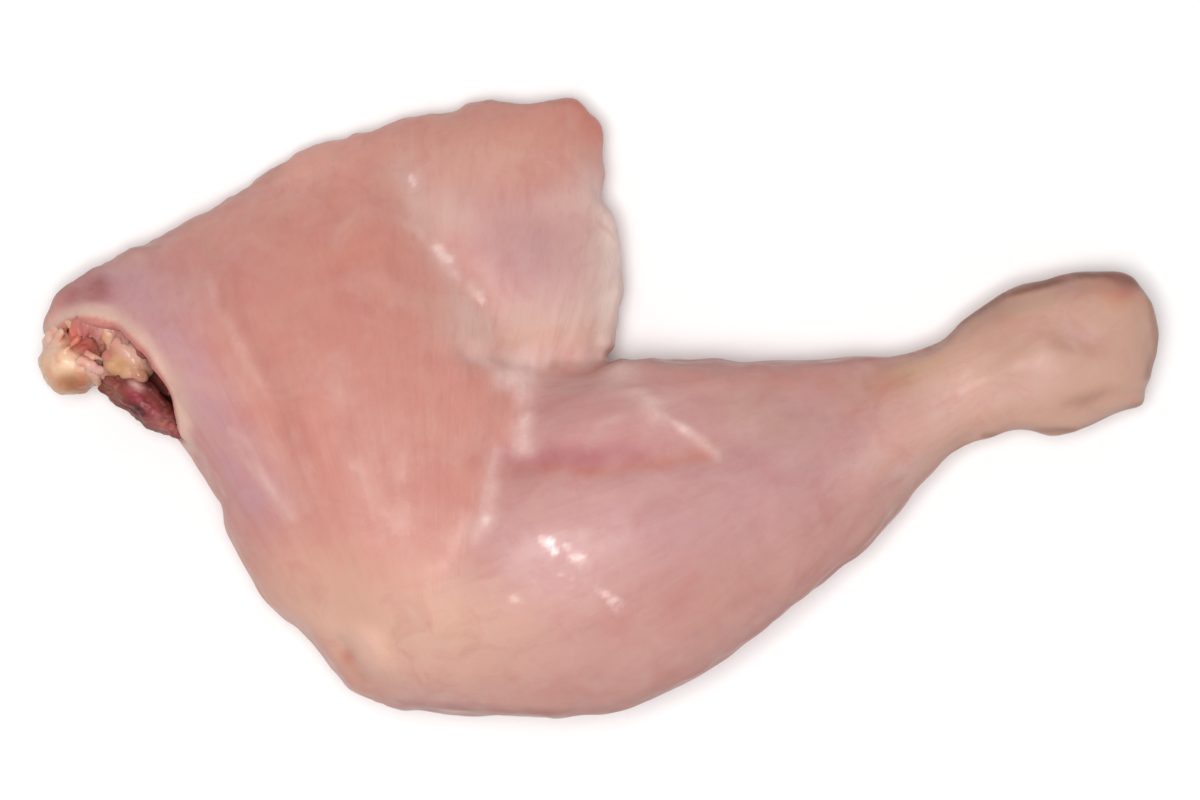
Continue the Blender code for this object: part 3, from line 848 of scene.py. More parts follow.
def lay_marks(colour, plan, normals):
    """Patches, streaks and edge shades."""
    facing_up = smooth_step(normals[:, 2], -0.6, 0.1)
    for over, pixel, half_sizes, degrees, strength in PATCHES:
        patch = strength * soft_spot(plan + 2 * waver, pixel, half_sizes, degrees) * (1 + 0.5 * lumps)
        tint(colour, over, patch * (0.3 + 0.7 * facing_up))
    seen_from_above = smooth_step(normals[:, 2], -0.3, 0.12)
    for over, pixels, half_width, strength in STREAKS:
        streak = soft_line(plan + waver, pixels, half_width * MM)
        tint(colour, over, strength * streak * seen_from_above * (1 + 0.6 * dimples))
    # Edge shades are painted shade, laid only on skin that turns away at the outline.
    not_under = smooth_step(normals[:, 2], -0.3, 0.1)
    turning_down = smooth_step(1 - normals[:, 2], 0.25, 0.75) * not_under
    for over, pixels, half_width, strength in EDGE_SHADES:
        shade = soft_line(plan, pixels, half_width * MM)
        tint(colour, over, strength * shade * turning_down * (1 + 0.5 * lumps))


print(len(PATCHES) + len(STREAKS) + len(EDGE_SHADES), "marks to lay on")

# %% Paint the sides, the hollow and the whole skin
ANKLE_FROM, ANKLE_TO = 820, 960
WALL_TOP, WALL_BOTTOM = 22 * MM, 14 * MM
WALL_LIGHT_END, WALL_DARK_FROM = (100, 360), (150, 400)
BARE_SHARE, FILM_SHARE, BETWEEN_FILMS = 0.6, 0.55, 0.4
KNOB_SHARE, FASCIA_SHARE = 0.6, 0.8


def lay_sides(colour, places, side):
    """Bare muscle along the cut edge, torn films of membrane, and the ends of the shin bone."""
    tint(colour, BARE_MUSCLE, BARE_SHARE * cut_edge * side * (1 + 1.5 * bundles))
    tint(colour, PALE_MEMBRANE, cut_edge * side * smooth_step(strands, 0.1, 0.5))
    tint(colour, PALE_MEMBRANE, FILM_SHARE * side * smooth_step(film_patches, 0.05, 0.4))
    tint(colour, DEEP_SALMON, BETWEEN_FILMS * side * smooth_step(film_patches, -0.05, -0.4))
    for middle, radius, height in ANKLE_KNOBS:
        near = soft_ball(places, middle, radius * MM)
        tint(colour, RIM_CREAM if height > 0 else BLOOD, KNOB_SHARE * near * side)


def lay_hollow(colour, places, plan, facing_up):
    """The pale rim, the torn wall and its dark right end, laid thicker lower down as painted shade."""
    hollow = in_hollow(places)
    rim = smooth_step(hollow, 0.76, 0.90) * facing_up
    tint(colour, FASCIA_AND_PAINTED_HIGHLIGHT, FASCIA_SHARE * rim * (1 + 0.8 * dimples))
    wall = smooth_step(hollow, 0.93, 1.0)
    tint(colour, TORN_WALL, wall)
    # Painted shade: the dark right end is laid thicker towards the bottom of the hollow.
    deep_painted_shade = smooth_step(places[:, 2], WALL_TOP, WALL_BOTTOM)
    to_the_right = smooth_step(plan[:, 0], place(*WALL_LIGHT_END)[0], place(*WALL_DARK_FROM)[0])
    tint(colour, DARK_WALL_AND_PAINTED_SHADE, wall * (0.2 + 0.8 * deep_painted_shade) * to_the_right)


def paint(mesh):
    """The layered colour of every vertex."""
    places, normals = vectors_of(mesh, "co"), vectors_of(mesh, "normal")
    plan = seen(places)
    colour = np.tile(SALMON, (len(plan), 1))
    tint(colour, DRUMSTICK, drumstick)
    ankle = smooth_step(plan[:, 0], place(ANKLE_FROM, 0)[0], place(ANKLE_TO, 0)[0])
    tint(colour, BEIGE, ankle * drumstick)
    lay_marks(colour, plan, normals)
    lay_sides(colour, places, smooth_step(normals[:, 2], 0.4, -0.1))
    lay_hollow(colour, places, plan, smooth_step(normals[:, 2], -0.6, 0.1))
    return colour


tones = paint(skin)
print("mean colour:", np.round(tones.mean(axis=0), 3))

# %% [markdown]
# ### From numbers to the surface
#
# So far the paint is a table of numbers in this script. An attribute ties it to the mesh, one value
# for each vertex, so the shader finds it again and it moves with the piece. No picture is needed, and
# nothing has to be unwrapped.

# %% Keep it all on the surface
def store(mesh, name, kind, values):
    """Keeps one value, vector or colour for each vertex as an attribute that a shader can read."""
    field = {"FLOAT": "value", "FLOAT_VECTOR": "vector", "FLOAT_COLOR": "color"}[kind]
    layer = mesh.attributes.new(name, kind, "POINT")
    layer.data.foreach_set(field, np.ascontiguousarray(values, np.float32).ravel())


def store_tone(mesh, colour):
    store(mesh, "tone", "FLOAT_COLOR", np.column_stack((colour, np.ones(len(colour)))))


store_tone(skin, tones)
store(skin, "fat", "FLOAT", fat_on_skin)
store(skin, "wet", "FLOAT", beads_and_painted_glints)
store(skin, "film", "FLOAT", np.clip(film, 0, 1))
store(skin, "drumstick", "FLOAT", drumstick)
store(skin, "loose", "FLOAT", loose)
store(skin, "thigh_grain", "FLOAT_VECTOR", thigh_grain)
store(skin, "shank_grain", "FLOAT_VECTOR", shank_grain)
print("attributes of the skin:", len(skin.attributes))

# %% [markdown]
# ## Wet flesh
#
# The shader has three jobs. It breaks the painted colour up with fibres and mottling, it lets light
# into the meat, and it puts a wet film on top. The film is a coat: a second, sharper gloss over a
# soft one, which is what makes raw meat look moist and not oily.

# %% Helpers for materials
MEAT_IOR, WATER_IOR = 1.38, 1.34
RED_GOES_DEEPEST = (1.0, 0.38, 0.26)


def new_finish(name):
    """A material, its node tree and its Principled shader."""
    material = bpy.data.materials.new(name)
    material.use_nodes = True
    tree = material.node_tree
    return material, tree, tree.nodes["Principled BSDF"]


def add(tree, kind, inputs, **settings):
    """A node with its settings, and with each named or numbered input set to a value or linked."""
    node = tree.nodes.new(kind)
    for key, value in settings.items():
        setattr(node, key, value)
    for key, value in inputs.items():
        if isinstance(value, bpy.types.NodeSocket):
            tree.links.new(value, node.inputs[key])
        else:
            node.inputs[key].default_value = value
    return node


def attribute(tree, name, output="Fac"):
    return add(tree, "ShaderNodeAttribute", {}, attribute_name=name).outputs[output]


def object_places(tree):
    return add(tree, "ShaderNodeTexCoord", {}).outputs["Object"]


def stretched(tree, vector, scale):
    """The vector with each part multiplied."""
    return add(tree, "ShaderNodeVectorMath", {0: vector, 1: scale}, operation="MULTIPLY").outputs[0]


def noise_of(tree, vector, scale, detail=3.0, rough=0.55, distort=0.0):
    inputs = {"Vector": vector, "Scale": scale, "Detail": detail}
    inputs |= {"Roughness": rough, "Distortion": distort}
    return add(tree, "ShaderNodeTexNoise", inputs).outputs["Fac"]


def ranged(tree, value, from_low, from_high, to_low=0.0, to_high=1.0):
    inputs = {0: value, 1: from_low, 2: from_high, 3: to_low, 4: to_high}
    return add(tree, "ShaderNodeMapRange", inputs).outputs[0]


def product(tree, first, second):
    return add(tree, "ShaderNodeMath", {0: first, 1: second}, operation="MULTIPLY").outputs[0]


def blend_of(tree, share, first, second):
    """One number blended into another."""
    return add(tree, "ShaderNodeMix", {0: share, 2: first, 3: second}).outputs[0]


def tinted(tree, share, under, over):
    """The colour, with another laid over it by a share."""
    inputs = {0: share, 6: under, 7: (*over, 1.0)}
    return add(tree, "ShaderNodeMix", inputs, data_type="RGBA").outputs[2]


def bumped(tree, shader, layers):
    """Links a bump to the shader, from layers of height, depth and strength, each on the last."""
    below = {}
    for height, depth, strength in layers:
        inputs = {"Height": height, "Distance": depth, "Strength": strength, **below}
        below = {"Normal": add(tree, "ShaderNodeBump", inputs).outputs["Normal"]}
    tree.links.new(below["Normal"], shader.inputs["Normal"])


def make_moist(shader, roughness, coat, coat_roughness, depth, let_in):
    """A wet surface that light goes into, redder the deeper it goes."""
    values = {
        "Roughness": roughness, "IOR": MEAT_IOR, "Specular IOR Level": 0.4,
        "Coat Weight": coat, "Coat Roughness": coat_roughness, "Coat IOR": WATER_IOR,
        "Subsurface Weight": let_in, "Subsurface Radius": RED_GOES_DEEPEST, "Subsurface Scale": depth,
    }
    for name, value in values.items():
        shader.inputs[name].default_value = value


print("water bends light nearly as much as meat:", WATER_IOR, "against", MEAT_IOR)

# %% [markdown]
# ### Fibres, clouds and fat in the colour
#
# Each layer is a noise, cut off so that it only tints where it is strong, and laid thinly over the
# paint. Two are stretched along the fibres and give the muscles their grain. Broader ones give the
# pale, ruddy and sallow clouds that keep the meat from looking moulded.

# %% The colour of the flesh
FIBRE_SHADOW = linear(0.66, 0.38, 0.34)
RUDDY = linear(0.76, 0.47, 0.45)
FAT_WHITE = linear(0.90, 0.76, 0.73)
# A painted highlight: the white laid on the beads of water.
PAINTED_GLINT_WHITE = linear(0.97, 0.84, 0.81)
PAINTED_GLINT_SHARE = 0.65


def flesh_colour(tree, here, coarse_fibre, fine_fibre, loose_share):
    """The painted tone with fibres, mottling, blotches, fat, and a painted highlight on wet beads."""
    mottle = noise_of(tree, here, 95.0, 5.0, 0.62, 0.6)
    blotch = noise_of(tree, here, 150.0, 4.0, 0.6, 0.8)
    speck = noise_of(tree, here, 900.0, 3.0, 0.6)
    # Pattern, where its tint starts and where it is full, strength, tint, where it may lie.
    layers = (
        (coarse_fibre, 0.50, 0.74, 0.18, FIBRE_SHADOW, loose_share),
        (fine_fibre, 0.50, 0.75, 0.10, FIBRE_SHADOW, loose_share),
        (mottle, 0.50, 0.74, 0.28, PALE_MEMBRANE, 1.0),
        (blotch, 0.50, 0.72, 0.30, RUDDY, 1.0),
        (blotch, 0.50, 0.30, 0.22, BEIGE, 1.0),
    )
    colour = attribute(tree, "tone", "Color")
    for pattern, starts, full, strength, over, where in layers:
        share = product(tree, ranged(tree, pattern, starts, full), strength)
        colour = tinted(tree, product(tree, share, where), colour, over)
    broken_fat = product(tree, attribute(tree, "fat"), ranged(tree, speck, 0.3, 0.6, 0.75, 1.1))
    colour = tinted(tree, broken_fat, colour, FAT_WHITE)
    # The beads are whitened as a painted highlight, besides their low roughness.
    return tinted(tree, product(tree, attribute(tree, "wet"), PAINTED_GLINT_SHARE), colour, PAINTED_GLINT_WHITE)


print("five layers of pattern over the paint")

# %% [markdown]
# ### Gloss and the smallest relief
#
# Wet meat shines in patches, sharply on a bead of water and hardly at all on dry membrane, so the
# roughness follows a noise and the beads. Three bumps stand on one another, bundles, strands and
# pores, all too fine to be worth vertices.

# %% The finish of the flesh
COARSE_GRAIN, FINE_GRAIN = (30.0, 420.0, 220.0), (70.0, 1500.0, 800.0)
PORES, GLOSS_PATCHES = 480.0, 330.0
BEAD_ROUGHNESS = 0.2


def flesh_finish():
    material, tree, shader = new_finish("wet_flesh")
    here = object_places(tree)
    drum = attribute(tree, "drumstick")
    grains = [attribute(tree, name, "Vector") for name in ("thigh_grain", "shank_grain")]
    coarse = [noise_of(tree, stretched(tree, g, COARSE_GRAIN), 1.0, 4.0, 0.6, 0.25) for g in grains]
    fine = [noise_of(tree, stretched(tree, g, FINE_GRAIN), 1.0, 3.0, 0.6, 0.2) for g in grains]
    coarse_fibre, fine_fibre = blend_of(tree, drum, *coarse), blend_of(tree, drum, *fine)
    loose_share = ranged(tree, attribute(tree, "loose"), 0.0, 1.0, 0.25, 1.0)
    colour = flesh_colour(tree, here, coarse_fibre, fine_fibre, loose_share)
    tree.links.new(colour, shader.inputs["Base Color"])

    make_moist(shader, 0.5, 0.16, 0.21, 3.2 * MM, 0.25)
    gloss = ranged(tree, noise_of(tree, here, GLOSS_PATCHES, 4.0, 0.6), 0.35, 0.7, 0.42, 0.62)
    gloss = blend_of(tree, attribute(tree, "wet"), gloss, BEAD_ROUGHNESS)
    tree.links.new(gloss, shader.inputs["Roughness"])
    wetness = ranged(tree, attribute(tree, "film"), 0.0, 1.0, 0.08, 0.28)
    tree.links.new(wetness, shader.inputs["Coat Weight"])
    bumped(tree, shader, (
        (product(tree, coarse_fibre, loose_share), 0.3 * MM, 0.28),
        (product(tree, fine_fibre, loose_share), 0.10 * MM, 0.3),
        (noise_of(tree, here, PORES, 4.0, 0.55), 0.18 * MM, 0.4),
    ))
    return material


skin.materials.append(flesh_finish())
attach(flesh, "root")
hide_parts("leg_meat")
print("flesh finished with", skin.materials[0].name)

# %% [markdown]
# ## The cut at the hip
#
# At the upper left the leg was parted from the back at the hip joint, and three things show in the
# hollow: the round head of the thigh bone with its smooth cartilage and the torn ligament that held
# it, a dark wedge of muscle cut across, and a lobed pad of yellow fat. Each starts as a copy of its
# solid. Strands and lobes are laid on the copy, and a voxel remesh melts everything into one body,
# the way wax pellets are worked into a sculpture. Noise then moves the skin in and out a little.

# %% Strands and lobes of tissue
def strand(bm, way, radii, sides=10):
    """A tapering strand of tissue along a few places: a disc whose face is pulled out step by step."""
    way = [Vector(step) for step in way]
    headings = [(after - before).normalized() for before, after in zip(way, way[1:])]
    headings.append(headings[-1])
    facing = Vector((0, 0, 1)).rotation_difference(headings[0]).to_matrix().to_4x4()
    disc = bmesh.ops.create_circle(
        bm, cap_ends=True, segments=sides, radius=radii[0], matrix=Matrix.Translation(way[0]) @ facing
    )
    end = disc["verts"][0].link_faces[0]
    for i in range(1, len(way)):
        pulled = bmesh.ops.extrude_face_region(bm, geom=[end])["geom"]
        end = next(part for part in pulled if isinstance(part, bmesh.types.BMFace))
        bmesh.ops.translate(bm, verts=end.verts, vec=way[i] - way[i - 1])
        about = Matrix.Translation(-way[i])
        bmesh.ops.scale(bm, verts=end.verts, vec=[radii[i] / radii[i - 1]] * 3, space=about)
        turn = headings[i - 1].rotation_difference(headings[i]).to_matrix()
        bmesh.ops.rotate(bm, verts=end.verts, cent=way[i], matrix=turn)


def lobe(bm, middle, half_sizes, degrees):
    """A rounded lobe, turned in plan."""
    place_at = Matrix.Translation(middle) @ Matrix.Rotation(math.radians(degrees), 4, "Z")
    shape = place_at @ Matrix.Diagonal((*half_sizes, 1))
    bmesh.ops.create_icosphere(bm, subdivisions=3, radius=1, matrix=shape)


def with_tissue(obj, strands=(), lobes=()):
    """The piece, with strands and lobes laid on it. They are given in pixels and in mm."""
    with editing(obj.data) as bm:
        for way, radii in strands:
            strand(bm, [spot(*step) for step in way], [radius * MM for radius in radii])
        for middle, half_sizes, degrees in lobes:
            lobe(bm, spot(*middle), [size * MM for size in half_sizes], degrees)
    return obj


print("a strand has ten sides, and a lobe starts as a ball")

# %% [markdown]
# ### Melting and painting a piece
#
# Every piece of the cut is finished in the same moves: its shells are melted into one net, loose
# crumbs are dropped, the net is smoothed, and a noise of its own moves the skin. Its paint is soft
# patches, as on the flesh.

# %% Melt a piece into one body and paint it
CUT_VOXEL = 0.2 * MM
SMALLEST_SHELL = 100


def drop_crumbs(bm, fewest):
    """Deletes the loose crumbs of fewer vertices than this that a voxel net can leave behind."""
    unseen, crumbs = set(bm.verts), []
    while unseen:
        shell = [unseen.pop()]
        for vertex in shell:
            fresh = {edge.other_vert(vertex) for edge in vertex.link_edges} & unseen
            unseen -= fresh
            shell.extend(fresh)
        if len(shell) < fewest:
            crumbs.extend(shell)
    bmesh.ops.delete(bm, geom=crumbs, context="VERTS")


def melted(obj, passes, rise_of):
    """Melts the object's shells together, smooths them and moves the skin by rise_of, in mm."""
    with editing(obj.data) as bm:
        bmesh.ops.recalc_face_normals(bm, faces=bm.faces)
    mesh = remeshed(obj, CUT_VOXEL)
    with editing(mesh) as bm:
        drop_crumbs(bm, SMALLEST_SHELL)
    smooth(mesh, passes)
    places, normals = vectors_of(mesh, "co"), vectors_of(mesh, "normal")
    move_to(mesh, places + normals * (rise_of(places) * MM)[:, None])


def layered(obj, base, patches):
    """Paints a base colour and soft patches, and stores them on the surface."""
    plan = vectors_of(obj.data, "co")[:, :2]
    colour = np.tile(base, (len(plan), 1))
    for over, pixel, half_sizes, degrees, strength in patches:
        tint(colour, over, strength * soft_spot(plan, pixel, half_sizes, degrees))
    store_tone(obj.data, colour)
    print(obj.name, "has", len(obj.data.polygons), "faces")


print("crumbs of fewer than", SMALLEST_SHELL, "vertices are dropped")

# %% [markdown]
# ### Head of the thigh bone
#
# A ball with a smooth cap of cream cartilage. A ligament is rooted in a small pit on its inner side,
# and tearing it leaves the pit bloodstained, with a few pinkish white shreds.

# %% Bone head and its shreds
PIT = spot(81, 341, 17)
PIT_RADIUS, PIT_DEPTH = 1.9 * MM, 0.9
# The way of each shred, and its radius at each step in mm.
SHREDS = (
    (((80, 357, 18.0), (90, 364, 18.2), (100, 369, 17.4), (110, 372, 16.4)), (0.9, 0.75, 0.6, 0.4)),
    (((86, 349, 17.6), (95, 356, 17.6), (106, 360, 17.0)), (0.7, 0.55, 0.35)),
    (((88, 368, 17.4), (96, 377, 16.2), (100, 386, 14.2)), (0.7, 0.6, 0.3)),
    (((66, 352, 17.4), (74, 345, 17.8), (84, 336, 17.6)), (0.5, 0.45, 0.3)),
    (((72, 323, 16.0), (58, 329, 15.0), (50, 342, 14.0), (48, 358, 13.2), (53, 374, 12.4),
      (63, 386, 12.0)), (1.1, 1.2, 1.1, 1.0, 0.8, 0.5)),
    (((66, 330, 17.0), (58, 340, 16.4), (57, 355, 15.6), (62, 368, 15.6)), (0.7, 0.8, 0.7, 0.4)),
    (((74, 318, 18.0), (78, 327, 17.8), (82, 336, 17.0)), (1.3, 1.1, 0.7)),
    (((86, 316, 18.6), (90, 327, 18.4), (92, 338, 17.4)), (1.3, 1.1, 0.7)),
    (((98, 318, 19.0), (102, 330, 18.6), (103, 344, 17.6)), (1.3, 1.1, 0.7)),
    (((110, 326, 19.4), (112, 338, 19.0), (112, 350, 18.0)), (1.2, 1.0, 0.6)),
)
CARTILAGE = linear(0.86, 0.70, 0.56)
# A painted highlight on the top of the bone head, where it faces the light.
CARTILAGE_PAINTED_HIGHLIGHT = linear(1.00, 0.84, 0.72)
RAW_BONE = linear(0.86, 0.47, 0.40)
OCHRE_BONE = linear(0.60, 0.38, 0.22)
CRIMSON = linear(0.74, 0.34, 0.36)
LIGAMENT = linear(0.90, 0.71, 0.67)
BONE_PATCHES = (
    (FASCIA_AND_PAINTED_HIGHLIGHT, (52, 340), (12, 26), 0, 0.8),
    # Painted highlight on the top of the bone head.
    (CARTILAGE_PAINTED_HIGHLIGHT, (70, 363), (14, 10), 20, 0.9),
    (LIGAMENT, (97, 366), (16, 10), -30, 0.9),
    (LIGAMENT, (104, 372), (14, 10), -30, 0.8),
    (OCHRE_BONE, (80, 386), (16, 11), 5, 1.0),
    (OCHRE_BONE, (66, 382), (12, 7), 20, 0.6),
    (RAW_BONE, (82, 342), (15, 10), -15, 0.95),
    (CRIMSON, (88, 348), (8, 7), 0, 0.7),
    (CRIMSON, (100, 346), (9, 9), 0, 0.6),
)


def bone_rise(places):
    grain = 0.45 * noise_at(places / (2.6 * MM)) + 0.16 * noise_at(places / (0.9 * MM) + 2.0)
    return grain - PIT_DEPTH * soft_ball(places, PIT, PIT_RADIUS)


bone_head = with_tissue(merged_copy("femur_head", "thigh_bone_head"), strands=SHREDS)
melted(bone_head, 5, bone_rise)
layered(bone_head, CARTILAGE, BONE_PATCHES)

# %% [markdown]
# ### Dark muscle
#
# The wedge is a bundle of coarse cords, since a muscle cut across pulls back and its bundles stand
# apart. Its lower side is tucked in a little, because the photograph shows it hollow there.

# %% Cords of the dark muscle
# The way of each cord, and its radius in mm at the thickest.
CORDS = (
    (((100, 385, 14.6), (118, 396, 15.6), (136, 410, 14.6), (150, 424, 12.6)), 1.15),
    (((108, 380, 16.6), (128, 390, 17.6), (148, 406, 17.0), (164, 424, 14.6)), 1.25),
    (((120, 377, 17.8), (138, 384, 18.6), (156, 400, 18.0), (170, 420, 16.2)), 1.05),
    (((137, 379, 18.4), (152, 389, 18.8), (165, 404, 18.2), (176, 424, 16.4)), 0.95),
    (((102, 389, 12.0), (117, 401, 12.6), (134, 413, 12.2), (150, 424, 11.0)), 0.95),
    (((150, 421, 12.0), (161, 427, 13.4), (172, 429, 14.8), (181, 428, 15.6)), 0.9),
    (((156, 423, 12.8), (166, 429, 13.8), (175, 433, 14.8), (185, 438, 15.4)), 0.85),
)
CORD_TAPER = (0.75, 1.0, 0.95, 0.5)
WEDGE_TUCK = 0.9
TUCK_SPOT = ((126, 414), (18, 9), -38)
DARK_MEAT = linear(0.50, 0.21, 0.18)
DARKEST_MEAT = linear(0.28, 0.07, 0.07)
MAGENTA_MEAT = linear(0.68, 0.27, 0.33)
BROWN_MEAT = linear(0.57, 0.34, 0.28)
WEDGE_PATCHES = (
    (BROWN_MEAT, (110, 388), (18, 10), -35, 0.85),
    (TORN_WALL, (166, 424), (18, 8), -25, 0.55),
    (MAGENTA_MEAT, (136, 388), (9, 7), -35, 0.9),
    # Painted highlights on the wet dark muscle, in this row and the next.
    (FASCIA_AND_PAINTED_HIGHLIGHT, (139, 385), (8, 5), -20, 0.75),
    (FASCIA_AND_PAINTED_HIGHLIGHT, (155, 415), (9, 4), -42, 0.5),
    (MAGENTA_MEAT, (139, 400), (7, 8), 0, 0.7),
    (MAGENTA_MEAT, (152, 412), (11, 8), -40, 0.85),
    (DARKEST_MEAT, (140, 410), (10, 6), -30, 0.95),
    (DARKEST_MEAT, (152, 386), (13, 6), -45, 0.8),
    (DARKEST_MEAT, (168, 404), (10, 7), -55, 0.6),
)


def cord_rise(places):
    grain = 0.45 * noise_at(places / (2.3 * MM) + 4.0) + 0.2 * noise_at(places / (0.9 * MM))
    return grain - WEDGE_TUCK * soft_spot(places[:, :2], *TUCK_SPOT)


tapered = [(way, [radius * share for share in CORD_TAPER]) for way, radius in CORDS]
dark_wedge = with_tissue(merged_copy("deep_muscle", "dark_muscle_wedge"), strands=tapered)
melted(dark_wedge, 4, cord_rise)
layered(dark_wedge, DARK_MEAT, WEDGE_PATCHES)

# %% [markdown]
# ### Fat
#
# Fat lies in soft lobes inside a thin skin, and yellower where it is thick. So a few flattened balls
# are melted into the pad, and only a faint noise moves its surface.

# %% Lobes of the fat pad
# Middle, half sizes in mm, angle.
LOBES = (
    ((118, 366, 17.6), (2.3, 1.7, 1.6), -30),
    ((130, 373, 18.0), (1.9, 1.4, 1.4), -45),
    ((108, 374, 16.4), (1.6, 1.2, 1.3), -20),
    ((141, 374, 18.6), (1.7, 1.1, 1.2), -50),
    ((124, 358, 18.2), (2.4, 1.6, 1.5), -40),
    ((112, 357, 17.4), (1.5, 1.3, 1.2), 0),
)
FAT_PINK = linear(0.80, 0.59, 0.52)
FAT_YELLOW = linear(0.84, 0.66, 0.51)
FAT_OLIVE = linear(0.80, 0.60, 0.42)
FAT_PATCHES = (
    (FAT_YELLOW, (120, 366), (20, 13), -30, 0.9),
    (FASCIA_AND_PAINTED_HIGHLIGHT, (136, 348), (26, 13), -45, 0.95),
    (TORN_WALL, (108, 352), (12, 10), 0, 0.8),
    (FAT_OLIVE, (121, 366), (10, 8), -30, 0.9),
    (BROWN_MEAT, (120, 381), (22, 6), -25, 0.75),
    (BROWN_MEAT, (146, 374), (10, 8), -40, 0.6),
)


def fat_rise(places):
    return 0.22 * noise_at(places / (1.9 * MM) + 8.0) + 0.08 * noise_at(places / (0.7 * MM))


fat_pad = with_tissue(merged_copy("hip_fat", "fat_pad"), lobes=LOBES)
melted(fat_pad, 4, fat_rise)
layered(fat_pad, FAT_PINK, FAT_PATCHES)

# %% [markdown]
# ### Torn ends on the wall of the hollow
#
# Muscles that ran on to the back end here, so the wall of the hollow isn't smooth. Short strands
# stand on it side by side, their lengths and leanings drawn from a fixed list of random numbers, so
# that every run grows the same ones.

# %% Strands on the wall
ENDS_SEED, ENDS_COUNT = 11, 190
ENDS_LENGTH, ENDS_RADIUS = (1.8, 3.8), (0.45, 0.95)
ENDS_BEND, ENDS_TAPER = 0.55, (1, 0.85, 0.35)
LEAN_OUT, LEAN_TO_MOUTH, LEAN_SPREAD = 0.7, 0.6, 0.16
ROOT_DEPTH = 0.7 * MM
ROOTS_ABOVE, ROOTS_BELOW, STEEPEST = 12 * MM, 20 * MM, 0.3
ROOTS_ALONG, ROOTS_ACROSS_FROM = (-0.76, 0.72), 0.2
MOUTH_WAY = np.array((math.sin(HOLLOW_TURN), -math.cos(HOLLOW_TURN), -0.2))
ENDS_PATCHES = (
    (TORN_WALL, (78, 335), (48, 34), 0, 0.95),
    (FASCIA_AND_PAINTED_HIGHLIGHT, (112, 338), (26, 14), -40, 0.6),
    (CRIMSON, (92, 334), (16, 8), 0, 0.5),
    (RAW_BONE, (74, 332), (10, 8), 0, 0.7),
    (DARKEST_MEAT, (162, 395), (14, 9), -55, 0.7),
)

draw = np.random.default_rng(ENDS_SEED)
skin_places, skin_normals = vectors_of(skin, "co"), vectors_of(skin, "normal")
along, across = from_hollow(skin_places)[:, :2].T
on_wall = (in_hollow(skin_places) > ON_THE_WALL) & (skin_normals[:, 2] < STEEPEST)
on_wall &= (skin_places[:, 2] > ROOTS_ABOVE) & (skin_places[:, 2] < ROOTS_BELOW)
on_wall &= (along > ROOTS_ALONG[0]) & (along < ROOTS_ALONG[1]) & (across > ROOTS_ACROSS_FROM)
torn_ends = show("torn_muscle_ends", bpy.data.meshes.new("torn_muscle_ends"))
with editing(torn_ends.data) as bm:
    for vertex in draw.choice(np.flatnonzero(on_wall), ENDS_COUNT, replace=False):
        length, radius = draw.uniform(*ENDS_LENGTH) * MM, draw.uniform(*ENDS_RADIUS) * MM
        lean = LEAN_OUT * skin_normals[vertex] + LEAN_TO_MOUTH * MOUTH_WAY
        way = lean + draw.normal(0, LEAN_SPREAD, 3)
        way *= length / np.linalg.norm(way)
        root = skin_places[vertex] - ROOT_DEPTH * skin_normals[vertex]
        steps = (root, root + way * ENDS_BEND, root + way)
        strand(bm, steps, [radius * share for share in ENDS_TAPER])
melted(torn_ends, 7, fat_rise)
layered(torn_ends, DARK_MEAT, ENDS_PATCHES)

# %% [markdown]
# ### Finish of the cut
#
# All four pieces share one recipe: painted colour, flecks along the grain of the hollow, and a film
# of moisture. They differ in the colour and size of the flecks, in how wet they are and in how much
# light they let in, cartilage and fat the most and dark muscle the least.

# %% Finishes of the cut
CUT_MOTTLE = 700.0
FLECKED, PALE_FLECKED = 0.55, 0.18


def cut_finish(name, fleck, fleck_scale, stretch, coat, let_in, dullest=0.5):
    """Moist torn tissue: the painted colour, flecks along its grain, and a wet film."""
    material, tree, shader = new_finish(name)
    here = object_places(tree)
    inputs = {"Vector": here, "Rotation": (0, 0, -HOLLOW_TURN), "Scale": stretch}
    turned = add(tree, "ShaderNodeMapping", inputs).outputs[0]
    grain = noise_of(tree, turned, fleck_scale, 5.0, 0.6, 0.4)
    mottle = noise_of(tree, here, CUT_MOTTLE, 4.0, 0.6, 0.3)
    flecked = product(tree, ranged(tree, grain, 0.48, 0.70), FLECKED)
    colour = tinted(tree, flecked, attribute(tree, "tone", "Color"), fleck)
    pale = product(tree, ranged(tree, mottle, 0.55, 0.75), PALE_FLECKED)
    colour = tinted(tree, pale, colour, FASCIA_AND_PAINTED_HIGHLIGHT)
    tree.links.new(colour, shader.inputs["Base Color"])
    make_moist(shader, 0.35, coat, 0.12, 1.6 * MM, let_in)
    gloss = ranged(tree, mottle, 0.35, 0.7, dullest - 0.2, dullest)
    tree.links.new(gloss, shader.inputs["Roughness"])
    bumped(tree, shader, ((grain, 0.25 * MM, 0.6), (mottle, 0.12 * MM, 0.5)))
    return material


EVEN, ALONG_CORDS, ALONG_ENDS = (1, 1, 1), (0.25, 1, 1), (1, 0.3, 1)
torn_cartilage = cut_finish("torn_cartilage", RAW_BONE, 520.0, EVEN, 0.3, 0.3)
dark_muscle = cut_finish("dark_muscle", DARKEST_MEAT, 900.0, ALONG_CORDS, 0.1, 0.12, 0.65)
yellow_fat = cut_finish("yellow_fat", FAT_OLIVE, 800.0, EVEN, 0.25, 0.35)
torn_muscle = cut_finish("torn_muscle", DARK_MEAT, 700.0, ALONG_ENDS, 0.15, 0.25, 0.6)
CUT_PIECES = (
    (bone_head, "femur_head", "cartilage", torn_cartilage),
    (dark_wedge, "deep_muscle", "dark_meat", dark_muscle),
    (fat_pad, "hip_fat", "fat", yellow_fat),
    (torn_ends, None, "dark_meat", torn_muscle),
)
for piece, node, slot, finish in CUT_PIECES:
    piece.data.materials.append(finish)
    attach(piece, "root")
    if node:
        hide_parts(node)
    print(piece.name, "wears", finish.name)

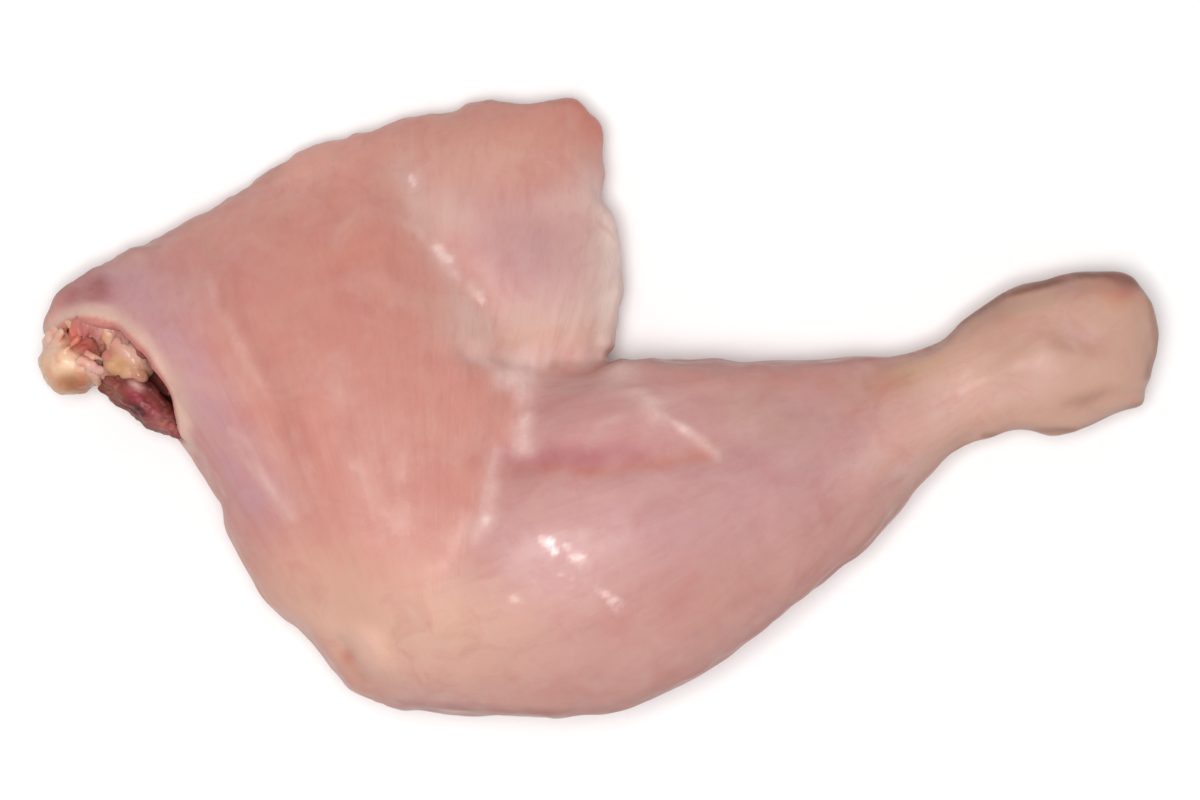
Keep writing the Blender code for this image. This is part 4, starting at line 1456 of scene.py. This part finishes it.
# %% [markdown]
# ## Camera, floor and light
#
# The photograph looks square on to the outer side of the leg, and here the leg lies with that side
# up, so the camera looks straight down through a long lens. The floor is a plain pale sheet, and the
# light is a large soft source near the camera with a smaller one for the wet glints.

# %% Camera over the leg
camera_data = bpy.data.cameras.new("overhead")
camera_data.lens = LENS
camera_data.sensor_width = SENSOR
camera_data.clip_start, camera_data.clip_end = 0.01, 10
camera = show("overhead", camera_data)
camera.location = (*VIEW_MIDDLE, MID_HEIGHT + VIEW_RISE)
bpy.context.scene.camera = camera
print("camera stands at", round(camera.location.z, 3), "m")

# %% [markdown]
# ### Floor
#
# The sheet lies a hair below the leg, so that the two don't share a plane. It isn't part of the
# object.

# %% Floor
FLOOR_HALF_SIZE = 2.5
FLOOR_GAP = 0.05 * MM

floor = show("floor", bpy.data.meshes.new("floor"))
with editing(floor.data) as bm:
    bmesh.ops.create_grid(bm, x_segments=1, y_segments=1, size=FLOOR_HALF_SIZE)
floor.location.z = -FLOOR_GAP
pale_floor, _, floor_shader = new_finish("pale_floor")
floor_shader.inputs["Base Color"].default_value = (0.96, 0.96, 0.96, 1)
floor_shader.inputs["Roughness"].default_value = 0.7
floor.data.materials.append(pale_floor)
print("the floor is", 2 * FLOOR_HALF_SIZE, "m wide")

# %% [markdown]
# ### Light
#
# The leg is lit evenly, so the main light is twice as wide as the leg is long, and a metre up. The
# small second one draws the bright points on wet skin, and a pale world fills the undersides.

# %% Light
bpy.context.scene.view_settings.view_transform = "Standard"
world = bpy.data.worlds.new("studio")
world.use_nodes = True
world.node_tree.nodes["Background"].inputs["Color"].default_value = (1, 1, 1, 1)
world.node_tree.nodes["Background"].inputs["Strength"].default_value = 0.28
bpy.context.scene.world = world


def soft_light(name, place_from, size, watts):
    """A square light that faces the leg."""
    data = bpy.data.lights.new(name, "AREA")
    data.size = size
    data.energy = watts
    lamp = show(name, data)
    lamp.location = place_from
    lamp.rotation_euler = (-Vector(place_from)).to_track_quat("-Z", "Y").to_euler()
    print(name, "gives", watts, "W")


soft_light("main_softbox", (-0.05, -0.04, 1.0), 0.34, 8.0)
soft_light("glint_light", (0.03, -0.10, 1.0), 0.07, 0.2)
